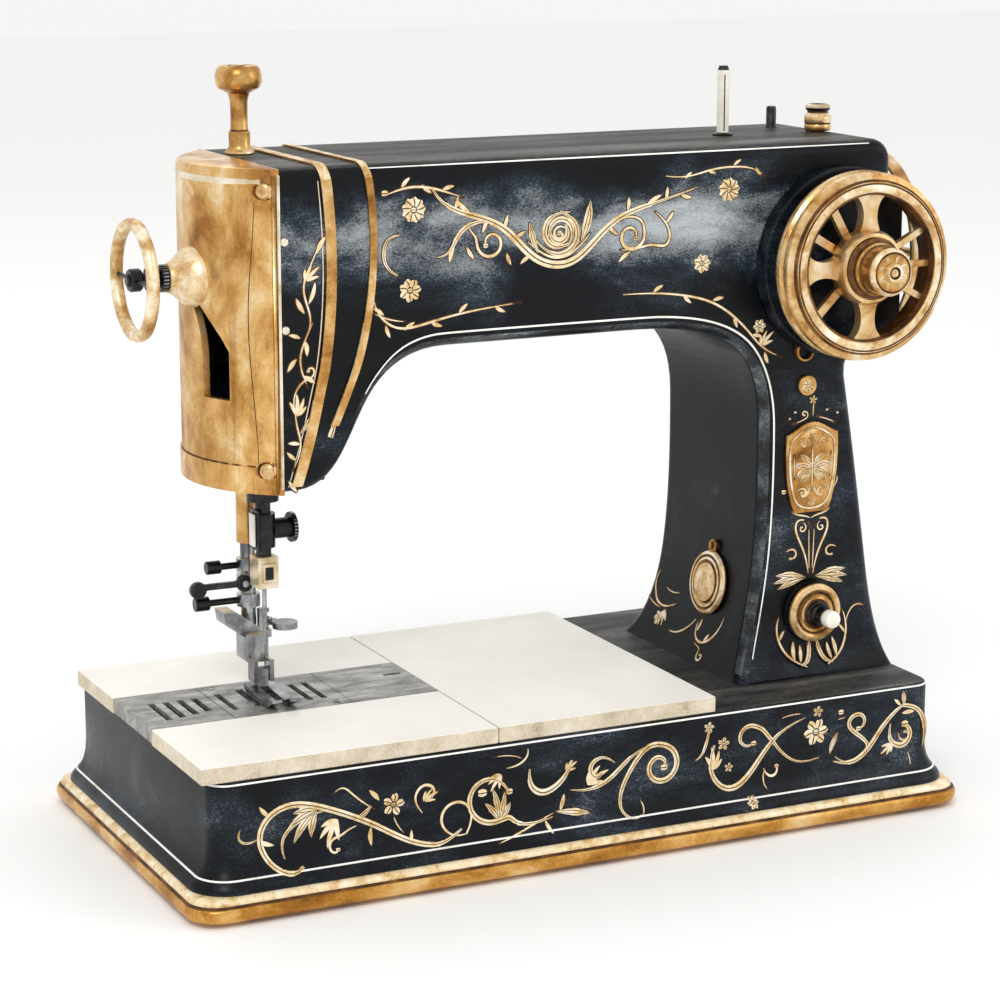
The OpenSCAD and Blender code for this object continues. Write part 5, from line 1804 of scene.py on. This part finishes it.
@dataclass
class Fittings:
    """The dial, the badges and the medallion on the pillar, and the pins on top of the arm."""

    def build(self) -> None:
        """Makes every fitting."""
        self._dial()
        self._button()
        self._badges()
        self._medallion()
        self._pins()
        self._winder()

    def _dial(self) -> None:
        """The dished brass disc and the blackened stem in its middle."""
        low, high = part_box("stitch_dial")
        centre = Vector(((low.x + high.x) / 2, 0, (low.z + high.z) / 2))
        profile = [
            (0, 51.3), (13.6, 51.3), (14.6, 52.4, 0), (14.4, 53.6, 2), (13.4, 54.6, 2), (12.0, 55.1, 0),
            (10.8, 54.7, 1), (10.0, 54.2, 1),
            (9.4, 54.6, 0), (8.2, 54.4, 0), (7.4, 54.8, 1), (6.6, 55.6, 3), (6.3, 56.6, 3), (5.4, 57.0, 3),
            (5.4, 59.4, 3), (4.9, 60.0, 3),
            (3.56, 60.0, 3), (3.56, 54.6, 3),
        ]
        bm = turned(profile, centre, Vector((0, -1, 0)), 72)
        publish(bm, "stitch_dial_finished", "stitch_dial", [BRASS, BRASS_DARK, BRASS_BRIGHT, STEEL_BLACK],
            ["stitch_dial"])

    def _button(self) -> None:
        """The reverse button: a black shank that carries an ivory cap."""
        low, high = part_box("reverse_button")
        centre = Vector(((low.x + high.x) / 2, 0, (low.z + high.z) / 2))
        front = -low.y / MM
        profile = [
            (0, 58.5, 0), (3.5, 58.5, 0), (3.5, 63.2, 0), (4.3, 63.5, 0), (4.4, 64.6, 0), (4.1, 65.0, 1),
            (4.4, 65.5, 1),
            (4.4, front - 1.5, 1), (3.9, front - 0.5, 1), (2.8, front - 0.05, 1), (0, front, 1),
        ]
        bm = turned(profile, centre, Vector((0, -1, 0)), 48)
        publish(bm, "reverse_button_finished", "reverse_button", [STEEL_BLACK, IVORY], ["reverse_button"])

    def _badges(self) -> None:
        """The shield with its flower in relief, the small badge and the oil port."""
        refine("front_badges", "frame", BRASS, 0.5)
        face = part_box("front_badges")[0].y / MM
        shield = -49.8
        brush = Brush("shield_relief", "frame", lambda u, v, w: mm(141.5 + u, shield - w, 164 + v),
            BRASS_BRIGHT, 0.5, 0.35)
        for side in (-1, 1):
            hand = Hand.LEFT if side > 0 else Hand.RIGHT
            brush.stroke([(0, 20.5), (side * 5, 19.4), (side * 9, 16), (side * 12.6, 14.8), (side * 12.9, 0),
                (side * 11, -12),
                          (side * 8, -19.6), (0, -20)], 1.5, 0.9, 0.9)
            brush.leaf((side * 0.6, 0), 90 - side * 62, 9.6, 4.0, side * -0.3)
            brush.leaf((side * 0.6, 0), 90 - side * 98, 9.0, 4.0, side * -0.3)
            brush.leaf((side * 0.6, 1), 90 - side * 30, 8.6, 3.6, side * -0.3)
            brush.leaf((side * 0.6, -2), 90 - side * 138, 7.6, 3.4, side * 0.3)
            brush.curl((side * 5.4, 12.2), 3.2, 1.0, 90 - side * 90, hand, 1.5)
            brush.curl((side * 5.4, -12.4), 3.4, 1.0, 90 - side * 60, hand, 1.5)
            brush.stroke([(side * 10.6, 8), (side * 9.8, 0), (side * 10, -5)], 1.0)
            brush.leaf((side * 1.0, -9), 90 - side * 168, 6, 2.4, side * 0.3)
        brush.stroke([(0, 17), (0, 8), (0, -4), (0, -12)], 1.6)
        brush.blossom((0, 15.2), 2.4, 6)
        brush.blossom((0, 0.4), 3.0, 6)
        brush.blossom((0, -16.4), 2.4, 5)
        brush.finish_piece()
        small = Brush("round_badge_relief", "frame", lambda u, v, w: mm(138 + u, face + 0.6 - w, 205 + v),
            BRASS_BRIGHT, 0.4, 0.3)
        small.blossom((0, 0), 3.0, 7)
        small.finish_piece()

    def _medallion(self) -> None:
        """The round medallion: stepped rings, a worn domed middle and a loop."""
        tilt = math.radians(10)
        axis = Vector((-math.cos(tilt), 0, math.sin(tilt)))
        centre = mm(108.7, -9, 101)
        profile = [
            (0, 0.0), (15.8, 0.0), (16.0, 1.0, 2), (15.4, 2.3, 2), (14.0, 2.6, 1), (13.2, 2.1, 1),
            (12.6, 2.7, 2), (11.4, 2.9, 0),
            (10.4, 2.3, 1), (9.6, 3.1, 2), (7.0, 3.7, 2), (3.5, 4.0, 2), (0, 4.0, 2),
        ]
        bm = turned(profile, centre, axis, 64)
        publish(bm, "medallion_finished", "frame", [BRASS, BRASS_DARK, BRASS_BRIGHT], ["medallion"])
        loop = turned(
            [(1.9, 0.4), (2.6, 0.2), (3.3, 0.5), (3.5, 1.2), (3.2, 1.9), (2.5, 2.1), (1.9, 1.7), (1.9, 0.4)],
            centre + Matrix.Rotation(tilt, 3, "Y") @ mm(-0.4, 0, 18.6), axis, 32,
        )
        publish(loop, "medallion_loop", "frame", [BRASS], crease=60)

    def _pins(self) -> None:
        """The tall pale spool pin with its dark foot and cap, and the short black pin."""
        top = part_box("face_plate")[1].z / MM
        tall = turned(
            [(0, top - 6), (2.2, top - 6), (2.2, top, 1), (5.0, top + 0.05, 1), (5.0, top + 0.9, 1),
                (4.2, top + 1.4, 1), (2.9, top + 1.6, 0),
             (2.9, top + 30.4, 0), (2.9, top + 31.6, 1), (2.4, top + 32.6, 1), (2.2, top + 33.6, 1),
             (0, top + 33.8, 1)],
            mm(117, 0, 0), Vector((0, 0, 1)), 40,
        )
        publish(tall, "spool_pin_finished", "frame", [IVORY, STEEL_BLACK], ["spool_pins"])
        short = turned(
            [(0, top - 6), (2.2, top - 6), (2.2, top), (2.9, top + 0.1), (2.5, top + 1.0), (2.5, top + 9.6),
                (2.1, top + 10.6), (0, top + 10.9)],
            mm(160, 26, 0), Vector((0, 0, 1)), 32,
        )
        publish(short, "short_pin_finished", "frame", [STEEL_BLACK])
        seam = bmesh.new()
        bmesh.ops.create_cube(
            seam, size=1.0,
            matrix=Matrix.Translation(mm(116.2, -2.85, top + 16))
            @ Matrix.Diagonal((0.5 * MM, 0.25 * MM, 27 * MM, 1.0)),
        )
        publish(seam, "spool_pin_seam", "frame", [STEEL_BLACK])

    def _winder(self) -> None:
        """The bobbin winder's ribbed brass cup and its nickel cap."""
        low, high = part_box("bobbin_winder_cup")
        centre = Vector(((low.x + high.x) / 2, (low.y + high.y) / 2, 0))
        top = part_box("face_plate")[1].z / MM
        cup = turned(
            [(0, top - 9.5), (2.5, top - 9.5), (2.5, top + 0.4), (6.0, top + 0.4, 1), (6.4, top + 1.0, 0),
                (6.6, top + 2.6, 0), (6.2, top + 3.5, 1),
             (6.6, top + 4.4, 0), (6.6, top + 7.2, 2), (6.2, top + 8.2, 2), (5.2, top + 9.0, 1),
             (5.0, top + 9.6), (0, top + 9.6)],
            centre, Vector((0, 0, 1)), 48,
        )
        publish(cup, "winder_cup_finished", "bobbin_winder", [BRASS, BRASS_DARK, BRASS_BRIGHT],
            ["bobbin_winder_cup"])
        cap = turned(
            [(0, top + 9.6), (5.0, top + 9.6, 1), (5.9, top + 10.6, 1), (6.1, top + 11.6, 0),
                (5.9, top + 12.8, 0), (5.0, top + 13.4, 0),
             (4.2, top + 13.2, 1), (3.6, top + 12.3, 1), (3.2, top + 12.0, 0), (0, top + 12.1, 0)], centre,
             Vector((0, 0, 1)), 48,
        )
        publish(cap, "winder_cap_finished", "bobbin_winder", [WARM_NICKEL, STEEL_BLACK],
            ["bobbin_winder_cap"])


# ---------------------------------------------------------------- what stays as the model has it


@dataclass
class InnerWorks:
    """The nodes that keep the model's own shape, mostly inside the castings."""

    finishes: dict[str, Finish] = field(
        default_factory=lambda: {
            "bottom_cover": SHEET_STEEL, "rubber_feet": RUBBER, "base_screws": STEEL_BLACK,
            "needle_plate_screws": STEEL, "feed_dog": STEEL, "needle_link": STEEL, "needle": STEEL,
            "presser_spring": STEEL, "hand_wheel_shaft": STEEL, "hand_wheel_gear": GEAR_STEEL,
            "arm_shaft": STEEL, "arm_shaft_gears": GEAR_STEEL, "shaft_bushes": BRONZE, "upright_shaft": STEEL,
            "upright_shaft_gears": GEAR_STEEL, "lower_shaft": STEEL, "lower_shaft_gear": GEAR_STEEL,
            "rotary_hook": STEEL, "bobbin": STEEL,
        }
    )

    def build(self) -> None:
        """Gives each of these nodes its finish."""
        for node, finish in self.finishes.items():
            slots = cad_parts[node].data.materials
            slots.clear()
            slots.append(finish.material())
            LOG.info("%s: dressed in %s", node, finish.name)


# ---------------------------------------------------------------- studio


@dataclass
class Studio:
    """A pale floor, soft lights and the camera."""

    azimuth: float = 25.83
    pitch: float = 12.63
    distance: float = 1382.0
    aim: tuple[float, float, float] = (-4.8, -3.5, 153.0)
    lens: float = 103.7

    def build(self) -> None:
        """Sets up the studio."""
        self._camera()
        self._floor()
        self._lights()

    def _camera(self) -> None:
        """Places the camera."""
        camera = bpy.data.objects.new("camera", bpy.data.cameras.new("camera"))
        bpy.context.scene.collection.objects.link(camera)
        a, p = math.radians(self.azimuth), math.radians(self.pitch)
        look = Vector((math.sin(a) * math.cos(p), math.cos(a) * math.cos(p), -math.sin(p)))
        camera.location = mm(*self.aim) - look * self.distance * MM
        camera.rotation_mode = "QUATERNION"
        camera.rotation_quaternion = look.to_track_quat("-Z", "Y")
        camera.data.lens = self.lens
        camera.data.clip_start, camera.data.clip_end = 0.05, 50.0
        bpy.context.scene.camera = camera

    def _floor(self) -> None:
        """Lays the pale floor."""
        bm = bmesh.new()
        bmesh.ops.create_grid(bm, x_segments=1, y_segments=1, size=6.0)
        mesh = bpy.data.meshes.new("studio_floor")
        bm.to_mesh(mesh)
        bm.free()
        floor = bpy.data.objects.new("studio_floor", mesh)
        bpy.context.scene.collection.objects.link(floor)
        paper = bpy.data.materials.new("studio_paper")
        paper.use_nodes = True
        shader = paper.node_tree.nodes["Principled BSDF"]
        shader.inputs["Base Color"].default_value = to_linear("#fbfbfa")
        shader.inputs["Roughness"].default_value = 0.9
        shader.inputs["Specular IOR Level"].default_value = 0.1
        mesh.materials.append(paper)

    def _lights(self) -> None:
        """Places a broad key from the upper left, a fill from the right and a pale sky."""
        scene = bpy.context.scene
        world = bpy.data.worlds.new("studio_sky")
        scene.world = world
        world.use_nodes = True
        sky = world.node_tree.nodes["Background"]
        sky.inputs["Color"].default_value = to_linear("#ffffff")
        sky.inputs["Strength"].default_value = 0.92
        scene.view_settings.view_transform = "Standard"
        for name, where, size, power in (
            ("key", (-0.9, -1.3, 1.7), 0.7, 13.0), ("fill", (1.5, -1.1, 0.9), 1.0, 4.0),
            ("back", (0.2, 1.6, 1.6), 1.2, 3.0)
        ):
            data = bpy.data.lights.new(name, "AREA")
            data.size, data.energy = size, power
            light = bpy.data.objects.new(name, data)
            light.location = where
            aim = Vector((0, 0, 0.18)) - light.location
            light.rotation_mode = "QUATERNION"
            light.rotation_quaternion = aim.to_track_quat("-Z", "Y")
            scene.collection.objects.link(light)


def main() -> None:
    """Builds the machine, sub-assembly by sub-assembly."""
    logging.basicConfig(level=logging.INFO, format="%(name)s: %(message)s")
    for part in (Studio(), Base(), Bed(), Arm(), Head(), NeedleWorks(), Wheels(), Fittings(), InnerWorks()):
        LOG.info("building %s", type(part).__name__)
        part.build()


if __name__ == "__main__":
    main()
